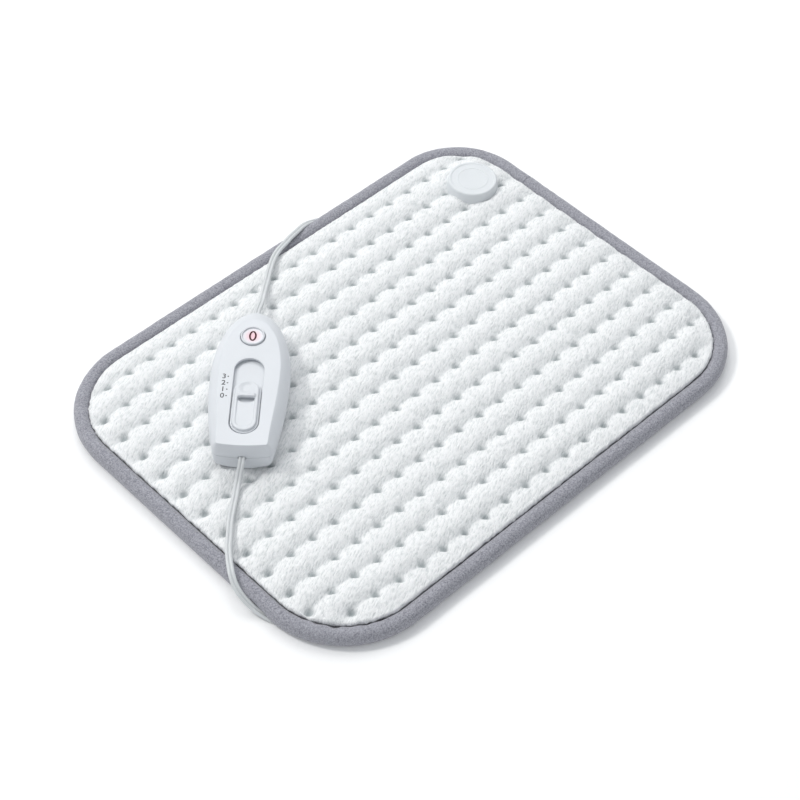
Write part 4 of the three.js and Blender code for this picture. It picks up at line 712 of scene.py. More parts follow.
# Rows of tufts: creases along the pad's length, with a pit at each tuft
FRONT_ROWS = (85, 142)
FRONT_CORNER = (110, 185)
FRONT_SHIFT = 1.2
FRONT_SQUEEZE = 5.5
RIDGE_LEAN = 0.56
SCALLOP = 1.6
CREASE_DEPTH = 2.8
CREASE_AT_TUFT = 0.3
CREASE_SOFTNESS = 0.01
PIT_DEPTH = 1.7
PIT_BACK_REACH = 1.5
PIT_FRONT_REACH = 0.7
PIT_SIDE_SCALE = 0.8
PIT_SLOPE = (0.5, 4.2)
PIT_LEAN = 1.25
OVERHANG_WIDTH = 4.2
OVERHANG_AT = 3.2
OVERHANG_DEPTH = 1.7
SLOPE_SHADE = 0.25
SLOPE_START = 0.03
SLOPE_END = 0.5
ROW_FADE = 4
TUFT_UNDER_PUCK = 2


def front_squeeze(x, y):
    """How far the rows of tufts in the pad's front corner are drawn back from its edge."""
    return smoothstep(-y, *FRONT_ROWS) * (FRONT_SHIFT + FRONT_SQUEEZE * smoothstep(-x, *FRONT_CORNER))


def nearest_tuft(x, y):
    """Place of the nearest tuft, and whether the pad has one there."""
    first_x = TUFT_SHIFT_X + TUFT_SLANT * y
    tuft_x = first_x + (np.floor((x - first_x) / TUFT_PITCH_X) + 0.5) * TUFT_PITCH_X
    row = np.round((y - front_squeeze(tuft_x, y) - TUFT_SHIFT_Y) / TUFT_PITCH_Y)
    even_y = TUFT_SHIFT_Y + row * TUFT_PITCH_Y
    tuft_y = even_y + front_squeeze(tuft_x, even_y + FRONT_SQUEEZE / 2)
    sewn = pad_inset(tuft_x, tuft_y) > TUFT_INSET
    clear_of_puck = np.hypot(tuft_x - PUCK_X, tuft_y - PUCK_Y) > PUCK_RADIUS - TUFT_UNDER_PUCK
    return tuft_x, tuft_y, sewn & clear_of_puck


def from_tuft(x, y):
    """Distances from the nearest tuft towards the pad's back and right corners, and whether it is sewn."""
    tuft_x, tuft_y, sewn = nearest_tuft(x, y)
    back = (x - tuft_x + y - tuft_y) * math.sqrt(0.5)
    right = (x - tuft_x - y + tuft_y) * math.sqrt(0.5)
    return back, right, sewn


def tuft_pit(x, y):
    """1 at the bottom of a tuft's pit, falling to 0 at its rim, longer on its far side."""
    back, right, sewn = from_tuft(x, y)
    reach = np.where(back > 0, PIT_BACK_REACH, PIT_FRONT_REACH)
    return sewn * (1 - smoothstep(np.hypot(right * PIT_SIDE_SCALE, back / reach), *PIT_SLOPE))


def pit_overhang(x, y):
    """How far the pile on a pit's near side leans over it."""
    back, right, sewn = from_tuft(x, y)
    return sewn * np.exp(-((right / OVERHANG_WIDTH) ** 2) - ((back + OVERHANG_AT) / OVERHANG_DEPTH) ** 2)


def along_rows(x, y):
    """How near a tuft is along its row, how far on the next row is, and how full the row is there."""
    u = (x - TUFT_SHIFT_X - TUFT_SLANT * y) / TUFT_PITCH_X - 0.5
    along = 0.5 + 0.5 * np.cos(2 * math.pi * u)
    v = (y - front_squeeze(x, y) - TUFT_SHIFT_Y - SCALLOP * (1 - along)) / TUFT_PITCH_Y
    _, tuft_y, _ = nearest_tuft(x, y)
    row = smoothstep(pad_inset(x, tuft_y), TUFT_INSET - ROW_FADE, TUFT_INSET + ROW_FADE)
    return along, v - np.floor(v), row


def tuft_pull(x, y):
    """How far the sewing draws the plush down: a crease along each row and a pit at each tuft."""
    along, rising, row = along_rows(x, y)
    rising = rising ** (math.log(0.5) / math.log(RIDGE_LEAN))
    across = 1 - np.sqrt(np.sin(math.pi * rising) ** 2 + CREASE_SOFTNESS)
    valley = row * across * (CREASE_DEPTH + CREASE_AT_TUFT * along)
    return valley + PIT_DEPTH * tuft_pit(x, y)


def pressed_pile(x, y):
    """Share of painted shade on the pile: 1 in a pit, and a little on the near slope of each ridge."""
    _, rising, row = along_rows(x, y)
    slope = row * (1 - smoothstep(rising, 0, SLOPE_END)) * smoothstep(rising, 0, SLOPE_START)
    return np.maximum(tuft_pit(x, y), SLOPE_SHADE * slope)


def outwards(x, y):
    """Direction from each place straight out to the pad's edge."""
    slope_x = pad_inset(x - 0.5, y) - pad_inset(x + 0.5, y)
    slope_y = pad_inset(x, y - 0.5) - pad_inset(x, y + 0.5)
    size = np.maximum(np.hypot(slope_x, slope_y), 1e-6)
    return slope_x / size, slope_y / size


# Plush: a puffed top that rolls over to a ragged rim, spread over the binding towards the front
PLUSH_PITCH = 1.1
PLUSH_BOTTOM_Z = 14.5
PLUSH_THINNEST = 0.6
PLUSH_RIM_INSET = 12.6
PLUSH_RIM_Z = 9.2
PLUSH_RIM_BOTTOM_Z = 8.4
PLUSH_RIM_END = 26
PLUSH_ROLL = 3.2
FRONT_ROLL_CUT = 0.6
PLUSH_LIP = 2.6
PLUSH_SPREAD = 1.3
SPREAD_REACH = 9
SPREAD_BELOW = 0.2
EDGE_FALL = 5.0
EDGE_REACH = 22
EDGE_POWER = 1.8
EDGE_LOWEST = 6
EDGE_LOWEST_END = 30
CROWN_MARGIN = 0.15
LEAN_FADE = (17, 25)
PUCK_COLLAR = 0.9
COLLAR_AT = 2.5
COLLAR_WIDTH = 5.5
COLLAR_START = (0.2, 1.4)

# Height, size and seed of each layer of noise
PLUSH_LUMPS = ((0.2, 21, 1), (0.2, 7, 2), (0.32, 2.6, 3))
PLUSH_RAGGED = ((0.9, 2.4, 4), (0.5, 1.3, 5))
RIM_LUMPS = 0.35
RAGGED_FADE = 0.8


def puck_collar(x, y):
    """How far the plush is heaped up round the puck."""
    beside = np.hypot(x - PUCK_X, y - PUCK_Y) - PUCK_RADIUS
    heap = np.exp(-(((beside - COLLAR_AT) / COLLAR_WIDTH) ** 2))
    return PUCK_COLLAR * heap * smoothstep(beside, *COLLAR_START)


def make_plush():
    """Quilted top cover."""
    xs, ys = pad_grid(PLUSH_RIM_INSET, PLUSH_PITCH)
    x, y = xs.ravel(), ys.ravel()
    flat = np.column_stack([x, y, np.zeros(len(x))])
    inset = pad_inset(x, y)
    out_x, out_y = outwards(x, y)
    towards_front = np.maximum(np.maximum(-out_x, -out_y), 0)

    roll = quarter_round((inset - PLUSH_RIM_INSET) / (PLUSH_ROLL * (1 - FRONT_ROLL_CUT * towards_front)))
    rim_z = PLUSH_RIM_Z + PLUSH_LIP * towards_front
    to_crown = np.clip((inset - PLUSH_RIM_INSET) / EDGE_REACH, 0, 1)
    puffed = CROWN_Z - EDGE_FALL * (1 - to_crown) ** EDGE_POWER - CROWN_MARGIN
    lumps = layered_noise(flat, PLUSH_LUMPS) * (RIM_LUMPS + (1 - RIM_LUMPS) * roll)
    top = rim_z + (puffed - tuft_pull(x, y) - rim_z) * roll + lumps
    near_edge = 1 - smoothstep(inset, PLUSH_RIM_INSET, EDGE_LOWEST_END)
    top = np.maximum(top, PLUSH_BOTTOM_Z + PLUSH_THINNEST - EDGE_LOWEST * near_edge)
    top = np.minimum(top, CROWN_Z + CROWN_MARGIN) + puck_collar(x, y)
    near_rim = 1 - smoothstep(inset, PLUSH_RIM_INSET, PLUSH_RIM_END)
    bottom = PLUSH_BOTTOM_Z - (PLUSH_BOTTOM_Z - PLUSH_RIM_BOTTOM_Z) * near_rim
    bottom = np.minimum(bottom, top - PLUSH_THINNEST)

    spread = 1 - smoothstep(inset, PLUSH_RIM_INSET, PLUSH_RIM_INSET + SPREAD_REACH)
    spread = PLUSH_SPREAD * towards_front * spread
    moved = layered_noise(flat, PLUSH_RAGGED) * (1 - RAGGED_FADE * roll) + spread
    lean = PIT_LEAN * math.sqrt(0.5) * pit_overhang(x, y) * smoothstep(inset, *LEAN_FADE)
    upper = np.column_stack([x + moved * out_x + lean, y + moved * out_y + lean, top])
    tucked = SPREAD_BELOW * spread
    lower = np.column_stack([x + tucked * out_x, y + tucked * out_y, bottom])
    # The last argument is the plush's painted shade on each point, darkest in the pits.
    return closed_sheet("plush_top", upper, lower, clear_of_neck(upper, xs.shape), pressed_pile(x, y))


def clear_of_neck(points, shape):
    """Which points of a grid are clear of the puck's neck."""
    away = np.hypot(points[:, 0] - PUCK_X, points[:, 1] - PUCK_Y)
    return (away > NECK_RADIUS + NECK_MARGIN).reshape(shape)


def closed_sheet(name, upper, lower, kept, pressed=None):
    """Closed body between two grids of points, over the cells whose four corners are kept, with an optional share
    of painted shade on each point.
    """
    columns = kept.shape[1]
    count = kept.size
    cell = kept[:-1, :-1] & kept[1:, :-1] & kept[:-1, 1:] & kept[1:, 1:]
    faces = []
    edges = {}
    for row, column in zip(*np.nonzero(cell)):
        a = row * columns + column
        quad = (a, a + 1, a + columns + 1, a + columns)
        faces.append(quad)
        faces.append(tuple(count + i for i in reversed(quad)))
        for start, end in zip(quad, quad[1:] + quad[:1]):
            if (end, start) in edges:
                del edges[(end, start)]
            else:
                edges[(start, end)] = True
    faces += [(end, start, count + start, count + end) for start, end in edges]
    used = sorted({i for face in faces for i in face})
    number = {old: new for new, old in enumerate(used)}
    faces = [tuple(number[i] for i in face) for face in faces]
    sheet = new_object(name, np.vstack([upper, lower])[used], faces)
    # Painted shade, kept on each point for the plush material.
    if pressed is not None:
        painted_pit_shade = sheet.data.attributes.new("painted_pit_shade", "FLOAT", "POINT")
        painted_pit_shade.data.foreach_set("value", np.tile(pressed, 2)[used].astype(np.float32))
    return sheet


UNDERSIDE_PITCH = 4
UNDERSIDE_INSET = 13.6
UNDERSIDE_RISE = (14.5, 27)
UNDERSIDE_EDGE_Z = 7.4
UNDERSIDE_Z = 10.6
UNDERSIDE_HIGHEST = 11.9
UNDERSIDE_THICKNESS = 1.1
UNDERSIDE_LUMPS = 0.12
UNDERSIDE_LUMP_SIZE = 16
UNDERSIDE_SEED = 6


def make_underside():
    """Bottom cover, hollowed upwards inside the binding."""
    xs, ys = pad_grid(UNDERSIDE_INSET, UNDERSIDE_PITCH)
    x, y = xs.ravel(), ys.ravel()
    rise = smoothstep(pad_inset(x, y), *UNDERSIDE_RISE)
    flat = np.column_stack([x, y, np.zeros(len(x))])
    lumps = UNDERSIDE_LUMPS * (1 + noise_at(flat, UNDERSIDE_LUMP_SIZE, UNDERSIDE_SEED))
    bottom = UNDERSIDE_EDGE_Z + (UNDERSIDE_Z - UNDERSIDE_EDGE_Z) * rise + lumps * rise
    lower = np.column_stack([x, y, bottom])
    upper = np.column_stack([x, y, np.minimum(bottom + UNDERSIDE_THICKNESS, UNDERSIDE_HIGHEST)])
    return closed_sheet("fleece_underside", upper, lower, clear_of_neck(upper, xs.shape))


# Binding: a roll round the pad with a foot that runs in under the plush
BINDING_SIDES = 48
BINDING_STEP = 1.5
BINDING_POWER = 0.9
BINDING_FOOT = 16
BINDING_FOOT_Z = (7.0, 6.6, 6.2)
BINDING_LOWEST = 0.02
BINDING_LUMPS = ((0.03, 17, 7), (0.025, 4, 8))
BINDING_SEAM = np.array([214, 81])
BINDING_PUCKER = np.array([-195.5, -134.7, 11])
GATHER_START = (6, 22)
GATHER_DEPTH = 0.05
GATHER_PITCH = 13
SEAM_DEPTH = 0.11
SEAM_WIDTH = 0.6
SEAM_FOLD = 0.03
SEAM_FOLD_START = (0, 0.8)
SEAM_FOLD_END = (6, 14)
SEAM_REACH = 9
PUCKER_DEPTH = 0.3
PUCKER_WIDTH = 3.5
LEAD_ROOM = 3.3
LEAD_NEAR_EDGE = BINDING_WIDTH + 8
LEAD_HIGHEST = REST_Z + 4
LEAD_ON_TOP = BINDING_HEIGHT / 2 + 3
PUSH_IN = 0.85
PUSH_UP = 0.53


def add_straight(places, outward, end, step):
    """Adds places about one step apart on the straight way from the last place to an end."""
    gap = end - places[-1]
    between = round(np.linalg.norm(gap) / step)
    for _ in range(1, between):
        places.append(places[-1] + gap / between)
        outward.append(outward[-1])


def outline_points(step):
    """Places along the pad's outer line with their outward directions."""
    places = []
    outward = []
    for side_x, side_y, start in ((1, 1, 0), (-1, 1, 90), (-1, -1, 180), (1, -1, 270)):
        radius = float(corner_radius(np.asarray(side_x), np.asarray(side_y)))
        centre = np.array([side_x * (HALF_LENGTH - radius), side_y * (HALF_WIDTH - radius)])
        count = round(radius * math.pi / 2 / step)
        for i in range(count + 1):
            angle = math.radians(start + 90 * i / count)
            direction = np.array([math.cos(angle), math.sin(angle)])
            place = centre + radius * direction
            if places:
                add_straight(places, outward, place, step)
            places.append(place)
            outward.append(direction)
    add_straight(places, outward, places[0], step)
    return np.array(places), np.array(outward)


def refined_at_seam(places, outward):
    """More places close to the binding's cross seam."""
    new_places = []
    new_outward = []
    for i, (place, direction) in enumerate(zip(places, outward)):
        new_places.append(place)
        new_outward.append(direction)
        following = places[(i + 1) % len(places)]
        if np.linalg.norm(place - BINDING_SEAM) < SEAM_REACH:
            for t in (0.2, 0.4, 0.6, 0.8):
                new_places.append(place + (following - place) * t)
                new_outward.append(direction)
    return np.array(new_places), np.array(new_outward)


def binding_swell(vertices, places, angles):
    """Share by which the roll is thicker: its lumps, corner gathers, cross seam and pucker."""
    swell = layered_noise(vertices, BINDING_LUMPS)
    turning = np.repeat(corner_share(places), BINDING_SIDES)
    inner = np.tile(np.clip(-np.cos(angles), 0, 1) * np.clip(np.sin(angles) + 0.5, 0, 1), len(places))
    along = np.repeat(np.arange(len(places)) * BINDING_STEP, BINDING_SIDES)
    swell += GATHER_DEPTH * turning * inner * np.sin(along * 2 * math.pi / GATHER_PITCH)
    beside_seam = np.where(vertices[:, 0] > 0, vertices[:, 1] - BINDING_SEAM[1], np.inf)
    swell -= SEAM_DEPTH * np.exp(-((beside_seam / SEAM_WIDTH) ** 2))
    fold = SEAM_FOLD * smoothstep(-beside_seam, *SEAM_FOLD_START)
    swell += fold * (1 - smoothstep(-beside_seam, *SEAM_FOLD_END))
    from_pucker = np.linalg.norm(vertices - BINDING_PUCKER, axis=1)
    return swell - PUCKER_DEPTH * inner * np.exp(-((from_pucker / PUCKER_WIDTH) ** 2))


def make_binding(routes):
    """Roll round the pad's edge, pressed in under the leads."""
    places, outward = refined_at_seam(*outline_points(BINDING_STEP))
    angles = np.arange(BINDING_SIDES) * 2 * math.pi / BINDING_SIDES
    half_width, half_height = BINDING_WIDTH / 2, BINDING_HEIGHT / 2
    across, up = (np.sign(f(angles)) * np.abs(f(angles)) ** BINDING_POWER for f in (np.cos, np.sin))
    section_in = half_width - half_width * across
    section_up = half_height + half_height * up
    inmost = BINDING_SIDES // 2
    section_in[inmost - 1 : inmost + 2] = BINDING_FOOT
    section_up[inmost - 1 : inmost + 2] = BINDING_FOOT_Z
    rings = []
    for place, direction in zip(places, outward):
        rings.append(lifted(place - section_in[:, None] * direction, section_up))
    vertices = np.concatenate(rings)
    middle = lifted(places - outward * half_width, half_height)
    middle = np.repeat(middle, BINDING_SIDES, axis=0)
    swell = binding_swell(vertices, places, angles)
    vertices = middle + (vertices - middle) * (1 + swell)[:, None]
    vertices[:, 2] = np.maximum(vertices[:, 2], BINDING_LOWEST)
    for route in routes:
        vertices = pressed(vertices, route)
    rings = vertices.reshape(len(places), BINDING_SIDES, 3)
    return new_object("felt_binding", *loft(rings, looped=True))


def corner_share(places):
    """1 in the pad's corners and 0 along its sides."""
    past_x = np.abs(places[:, 0]) - (HALF_LENGTH - CORNER_RADIUS)
    past_y = np.abs(places[:, 1]) - (HALF_WIDTH - CORNER_RADIUS)
    return smoothstep(np.minimum(past_x, past_y), *GATHER_START)


def pressed(vertices, route):
    """Soft surface pressed clear of a lead: down under it, and inwards and up where the lead is low."""
    on_edge = pad_inset(route[:, 0], route[:, 1]) < LEAD_NEAR_EDGE
    near = route[on_edge & (route[:, 2] < LEAD_HIGHEST)]
    out_x, out_y = outwards(vertices[:, 0], vertices[:, 1])
    inwards = np.column_stack([-PUSH_IN * out_x, -PUSH_IN * out_y, np.full(len(vertices), PUSH_UP)])
    moved = vertices.copy()
    for place in near:
        gap = moved - place
        away = np.linalg.norm(gap, axis=1)
        close = away < LEAD_ROOM
        if place[2] > LEAD_ON_TOP:
            moved[close] += gap[close] / away[close, None] * (LEAD_ROOM - away[close])[:, None]
            continue
        lean = (gap[close] * inwards[close]).sum(axis=1)
        needed = np.sqrt(lean**2 - away[close] ** 2 + LEAD_ROOM**2) - lean
        moved[close] += inwards[close] * needed[:, None]
    return moved


def make_pad(mains, pad):
    """Soft pieces of the pad, with the routes of the leads that lie on them."""
    plush = make_plush()
    dress(plush, "plush", ["top_cover"], sharp_angle=80)
    binding = make_binding([mains, pad])
    dress(binding, "felt", ["edge_binding"], sharp_angle=80)
    underside = make_underside()
    dress(underside, "fleece", ["bottom_cover"], sharp_angle=80)


# Puck
def make_puck():
    """Puck's cap, with a sunk ring on its face, and the strain relief of its lead."""
    top = puck_high.z
    low = puck_low.z
    face = PUCK_RADIUS - 2.6
    profile = [
        (ON_AXIS, top - 2),
        (NECK_RADIUS + 0.3, top - 2),
        (NECK_RADIUS + 0.3, low),
        (PUCK_RADIUS - 0.2, low),
        (PUCK_RADIUS, low + 1.2),
        (PUCK_RADIUS - 0.4, low + 1.7),
        (face + 0.7, top - 0.9),
        (face, top),
        (face - 1.5, top),
        (face - 1.9, top - 0.45),
        (face - 6.2, top - 0.45),
        (face - 6.5, top - 0.2),
        (face - 7.1, top - 0.2),
        (face - 7.4, top - 0.45),
        (ON_AXIS, top - 0.45),
    ]
    place = Matrix.Translation((PUCK_X, PUCK_Y, 0))
    cap = new_object("puck_top", *turned(rounded_profile(profile, 0.5)), place)
    # Painted light: the cap takes a lighter copy of the case's plastic, to brighten its wall.
    dress(cap, "case_plastic", ["puck_cap"], material="case_plastic_painted_light")
    relief_place = place @ Matrix.Rotation(PUCK_LEAD_ANGLE + math.pi, 4, "Z")
    relief_place = relief_place @ Matrix.Translation((-PUCK_RADIUS - 0.3, 0, PUCK_LEAD_Z))
    make_relief("puck_relief", relief_place, "puck_strain_relief", (9, 7.4), (6.8, 4.8), 20)


# Controller's upper edge: how far below the top, and how far in at the sides, the near end and the far end
TOP_EDGE = [
    (12.15, 0, 0, 0), (9.4, 0.35, 0.05, 0.6), (7.2, 0.9, 0.1, 1.6), (4.6, 2.5, 0.25, 4.2),
    (2.3, 4.3, 0.45, 8.2), (0.7, 6.05, 0.6, 12.3), (0.28, 6.6, 0.68, 13.4), (0.1, 6.9, 0.75, 14.1),
    (0.02, 7.15, 0.9, 14.7), (0, 7.4, 1.15, 15.1),
]
# Its lower edge: how far above the bottom, and the same three
BOTTOM_EDGE = [(0, 6, 1.8, 8), (2, 3.2, 0.7, 4), (5.5, 1, 0.2, 1.2), (12.05, 0, 0, 0)]
END_BULGE = 2.4
BULGE_SLOPE = 0.07
NEAR_CORNER = 4.2
NEAR_CORNER_TOP = 1.4
NEAR_CORNER_FADE = 7
NEAR_SIDE_EASE = 0.55
CORD_HOLE_MARGIN = 0.55
CORD_HOLE_POWER = 2.8
FLARE_ANGLES = np.linspace(0, math.pi / 2, 6)
ABOVE_CASE = 2
SLOT_FLARE = 0.45
SLOT_END_POINTS = 24
SLOT_UNDERCUT = 1.3
SLOT_UNDERCUT_HEIGHT = 1.5
WINDOW_FLARE = 0.5
WINDOW_MARGIN = 0.4
WINDOW_BELOW = 3
BOTTOM_EDGE_STEP = 0.8


def case_outline(height, side, near, far):
    """Case from above at a height, drawn in at its sides and ends, its near end bowed with round corners."""
    full = CASE_FULL_WIDTH / 2
    narrowing = (CASE_FULL_WIDTH - CASE_NEAR_WIDTH) / 2
    corner = np.interp(side, (0, NEAR_CORNER_FADE), (NEAR_CORNER, NEAR_CORNER_TOP))

    def half_at(u):
        near_side = side * (1 - NEAR_SIDE_EASE * (1 - u / CASE_FULL_AT) ** 4)
        return full - near_side - narrowing * (1 - u / CASE_FULL_AT) ** 2

    u = near + corner + (CASE_FULL_AT - near - corner) * np.linspace(0, 1, 33) ** 1.6
    flank = np.column_stack([u, half_at(u)])
    edge = half_at(near)
    bulge = END_BULGE + BULGE_SLOPE * (SEAM_HEIGHT - height)
    v = np.linspace(edge - corner, 0, 13)
    end = np.column_stack([near - bulge * (1 - (v / edge) ** 2), v])
    t = np.linspace(0, 1, 9)[1:-1, None]
    bend = (1 - t) ** 2 * flank[0] + 2 * t * (1 - t) * np.array([near, edge]) + t**2 * end[0]
    left = np.vstack([flank[::-1], bend, end])
    right = left[-2::-1] * (1, -1)
    angles = np.linspace(-math.pi / 2, math.pi / 2, 45)[1:-1]
    nose_u = CASE_FULL_AT + (CASE_LENGTH - far - CASE_FULL_AT) * np.cos(angles)
    nose = np.column_stack([nose_u, (full - side) * np.sin(angles)])
    return np.vstack([right, nose, left])


def case_solid(name, levels, grow=0):
    """Solid of the case through levels of (height, side, near, far)."""
    rings = [lifted(case_outline(level[0], *(level[1:] + grow)), level[0]) for level in levels]
    return new_object(name, *loft(rings))


def slot_plan(wider):
    """Slot from above with its round ends, drawn outwards all round."""
    radius = SLOT_WIDTH / 2 + wider
    near = np.linspace(math.pi / 2, math.pi * 1.5, SLOT_END_POINTS)
    near_end = np.column_stack([radius * np.cos(near), radius * np.sin(near)])
    near_end[:, 0] += SLOT_START + SLOT_WIDTH / 2
    far_end = (2 * SLOT_START + SLOT_LENGTH, 0) - near_end
    return np.vstack([near_end, far_end])


def window_plan(wider):
    """Window's hole from above, drawn outwards all round."""
    radius = LENS_DIAMETER / 2 + WINDOW_MARGIN + wider
    angles = np.arange(ROUND_SIDES) * 2 * math.pi / ROUND_SIDES
    return np.column_stack([LENS_AT + radius * np.cos(angles), radius * np.sin(angles)])


def straight_tool(name, plan, low, high):
    """Upright cutter of a plan."""
    return new_object(name, *loft([lifted(plan, low), lifted(plan, high)]))


def flared_tool(name, plan_at, low, flare):
    """Cutter from low to above the case, flared at the case's top to round the rim that it leaves."""
    rings = [lifted(plan_at(0), low)]
    for angle in FLARE_ANGLES:
        plan = plan_at(flare * (1 - math.cos(angle)))
        rings.append(lifted(plan, CASE_HEIGHT - flare + flare * math.sin(angle)))
    rings.append(lifted(plan, CASE_HEIGHT + ABOVE_CASE))
    return new_object(name, *loft(rings))


def cord_tools():
    """Cutters for the two cord holes at the seam."""
    margin = 2 * CORD_HOLE_MARGIN
    section = oval(CORD_WIDTH + margin, 2 * LOBE_RADIUS + margin, CORD_HOLE_POWER)
    tools = []
    for name, start, end in (("near_hole", -6, 8), ("far_hole", CASE_LENGTH - 12, CASE_LENGTH + 3)):
        rings = [along_x(section, start), along_x(section, end)]
        tools.append(new_object(name, *loft(rings), Matrix.Translation((0, 0, SEAM_HEIGHT))))
    return tools


def place_on_case(piece):
    """Moves a mesh that is drawn in the controller's own frame to where the controller lies."""
    piece.data.transform(Matrix.Scale(MM, 4) @ CASE_PLACE @ Matrix.Scale(1 / MM, 4))
    return piece


def make_shell(shell, hollow, tools, node):
    """Shell of the case, hollowed and cut, with its large flat faces kept flat beside their rounded rims."""
    cut(shell, [hollow, *tools, *cord_tools()])
    dress(place_on_case(shell), "case_plastic", [node], sharp_angle=38)
    modifier = shell.modifiers.new("normals", "WEIGHTED_NORMAL")
    modifier.keep_sharp = True
    modifier.weight = 60


def make_case():
    """Both shells of the controller, the upper one with its slot and window hole."""
    floor = CASE_HEIGHT - SLOT_DEPTH
    table = np.array([(CASE_HEIGHT - below, *drawn) for below, *drawn in TOP_EDGE])
    top = case_solid("case_top", table)
    hollow = case_solid("hollow", table - (CASE_WALL, 0, 0, 0), grow=np.full(3, CASE_WALL))
    cut(hollow, [straight_tool("tray", slot_plan(CASE_WALL), floor - SLOT_FLOOR, CASE_HEIGHT + ABOVE_CASE)])
    slot = flared_tool("slot", slot_plan, floor, SLOT_FLARE)
    gap = straight_tool("gap", slot_plan(SLOT_UNDERCUT), floor, floor + SLOT_UNDERCUT_HEIGHT)
    window = flared_tool("window", window_plan, floor - WINDOW_BELOW, WINDOW_FLARE)
    make_shell(top, hollow, [slot, gap, window], "controller_top_shell")

    table = smooth_curve(BOTTOM_EDGE, BOTTOM_EDGE_STEP)
    bottom = case_solid("case_bottom", table)
    hollow = case_solid("hollow", table + (CASE_WALL, 0, 0, 0), grow=np.full(3, CASE_WALL))
    make_shell(bottom, hollow, [], "controller_bottom_shell")


# Knob: a skirt, a wall up to a shoulder, a thumb recess, a ridge, a hollow before it and a dish behind it
KNOB_SKIRT = 0.4
KNOB_WALL = (1.0, 1.5)
KNOB_WALL_HEIGHT = 1.5
KNOB_SHOULDER = 1.1
KNOB_SHOULDER_FALL = 0.5
RECESS_SIDE = 3.3
RECESS_END = 4.0
RECESS_DEPTH = 0.5
RECESS_DEEPER = 0.7
RECESS_FALL_AT = 8
RECESS_SLOPE = 0.9
RECESS_GAP = 1.0
HOLLOW_GAP = 1.1
HOLLOW_LENGTH = 4.2
HOLLOW_HALF_WIDTH = 6.0
HOLLOW_POWER = 0.45
HOLLOW_DEPTH = 3.4
DISH_AT = 8.2
DISH_SLOPE = (2.5, 6.6)
DISH_DEPTH = 0.9
RIDGE_RISE = (-1.3, -0.5)
RIDGE_FALL = (1.2, 3.2)
RIDGE_SIDE = (5.4, 7.2)
RIDGE_HEIGHT = 1.5
KNOB_BOTTOM_Z = CASE_HEIGHT - SLOT_DEPTH + 0.3
KNOB_LOWEST_TOP = CASE_HEIGHT - SLOT_DEPTH + 0.6
KNOB_ROWS = 61
KNOB_COLUMNS = 141
KNOB_ROW_REACH = 0.9999
KNOB_END_POWER = 1.15
FINGER_START = 1.6
FINGER_REACH = 3.4
FINGER_HALF_WIDTH = 5.6
FINGER_BELOW = 3.2
FINGER_HEIGHT = 2.5


def knob_height(u, v):
    """Height of the knob's upper side."""
    radius = KNOB_WIDTH / 2
    past = np.maximum(np.abs(u - (KNOB_START + KNOB_LENGTH / 2)) - (KNOB_LENGTH / 2 - radius), 0)
    inset = radius - np.hypot(past, v)
    skirt = KNOB_SKIRT * (1 - quarter_round(inset / KNOB_SKIRT))
    wall = KNOB_WALL_HEIGHT * (1 - smoothstep(inset, *KNOB_WALL))
    shoulder = KNOB_SHOULDER_FALL * (1 - quarter_round((inset - KNOB_WALL[1]) / KNOB_SHOULDER))
    height = KNOB_TOP - skirt - wall - shoulder

    inner = radius - RECESS_SIDE
    past_near = np.maximum(KNOB_START + RECESS_END + inner - u, 0)
    recess_inset = np.minimum(inner - np.hypot(past_near, v), RIDGE_AT - RECESS_GAP - u)
    depth = RECESS_DEPTH + RECESS_DEEPER * smoothstep(u, KNOB_START + RECESS_FALL_AT, RIDGE_AT)
    height = height - depth * smoothstep(recess_inset, 0, RECESS_SLOPE)

    before_ridge = RIDGE_AT - HOLLOW_GAP - u
    hollow = np.clip(1 - (before_ridge / HOLLOW_LENGTH) ** 2 - (v / HOLLOW_HALF_WIDTH) ** 2, 0, 1)
    height = height - HOLLOW_DEPTH * hollow**HOLLOW_POWER * (before_ridge > 0)

    dish = np.hypot(u - (RIDGE_AT + DISH_AT), v)
    height = height - DISH_DEPTH * (1 - smoothstep(dish, *DISH_SLOPE))
    from_ridge = u - RIDGE_AT
    ridge = smoothstep(from_ridge, *RIDGE_RISE) * (1 - smoothstep(from_ridge, *RIDGE_FALL))
    height = height + RIDGE_HEIGHT * ridge * (1 - smoothstep(np.abs(v), *RIDGE_SIDE))
    return np.maximum(height, KNOB_LOWEST_TOP)


def finger_tool():
    """Cutter that carries the knob's hollow on under its ridge."""
    angles = np.linspace(0, math.pi, 33)
    u = RIDGE_AT - FINGER_START + FINGER_REACH * np.sin(angles)
    bow = np.column_stack([u, FINGER_HALF_WIDTH * np.cos(angles)])
    low = KNOB_TOP - FINGER_BELOW
    return straight_tool("finger_hollow", bow, low, low + FINGER_HEIGHT)


def make_knob():
    """Slider's knob, as a grid over its plan with rows drawn close at its sides and ends."""
    radius = KNOB_WIDTH / 2
    v = radius * np.sin(np.linspace(-math.pi / 2, math.pi / 2, KNOB_ROWS)) * KNOB_ROW_REACH
    bow = radius - np.sqrt(radius**2 - v**2)
    ends = np.linspace(-1, 1, KNOB_COLUMNS)
    spread = np.sign(ends) * (1 - (1 - np.abs(ends)) ** KNOB_END_POWER)
    us = KNOB_START + KNOB_LENGTH / 2 + spread[None, :] * (KNOB_LENGTH / 2 - bow)[:, None]
    u, v = us.ravel(), np.broadcast_to(v[:, None], us.shape).ravel()
    upper = np.column_stack([u, v, knob_height(u, v)])
    lower = np.column_stack([u, v, np.full(len(u), KNOB_BOTTOM_Z)])
    knob = closed_sheet("knob", upper, lower, np.ones(us.shape, bool))
    cut(knob, [finger_tool()])
    dress(place_on_case(knob), "case_plastic", ["slider_knob"], "slider", sharp_angle=50)


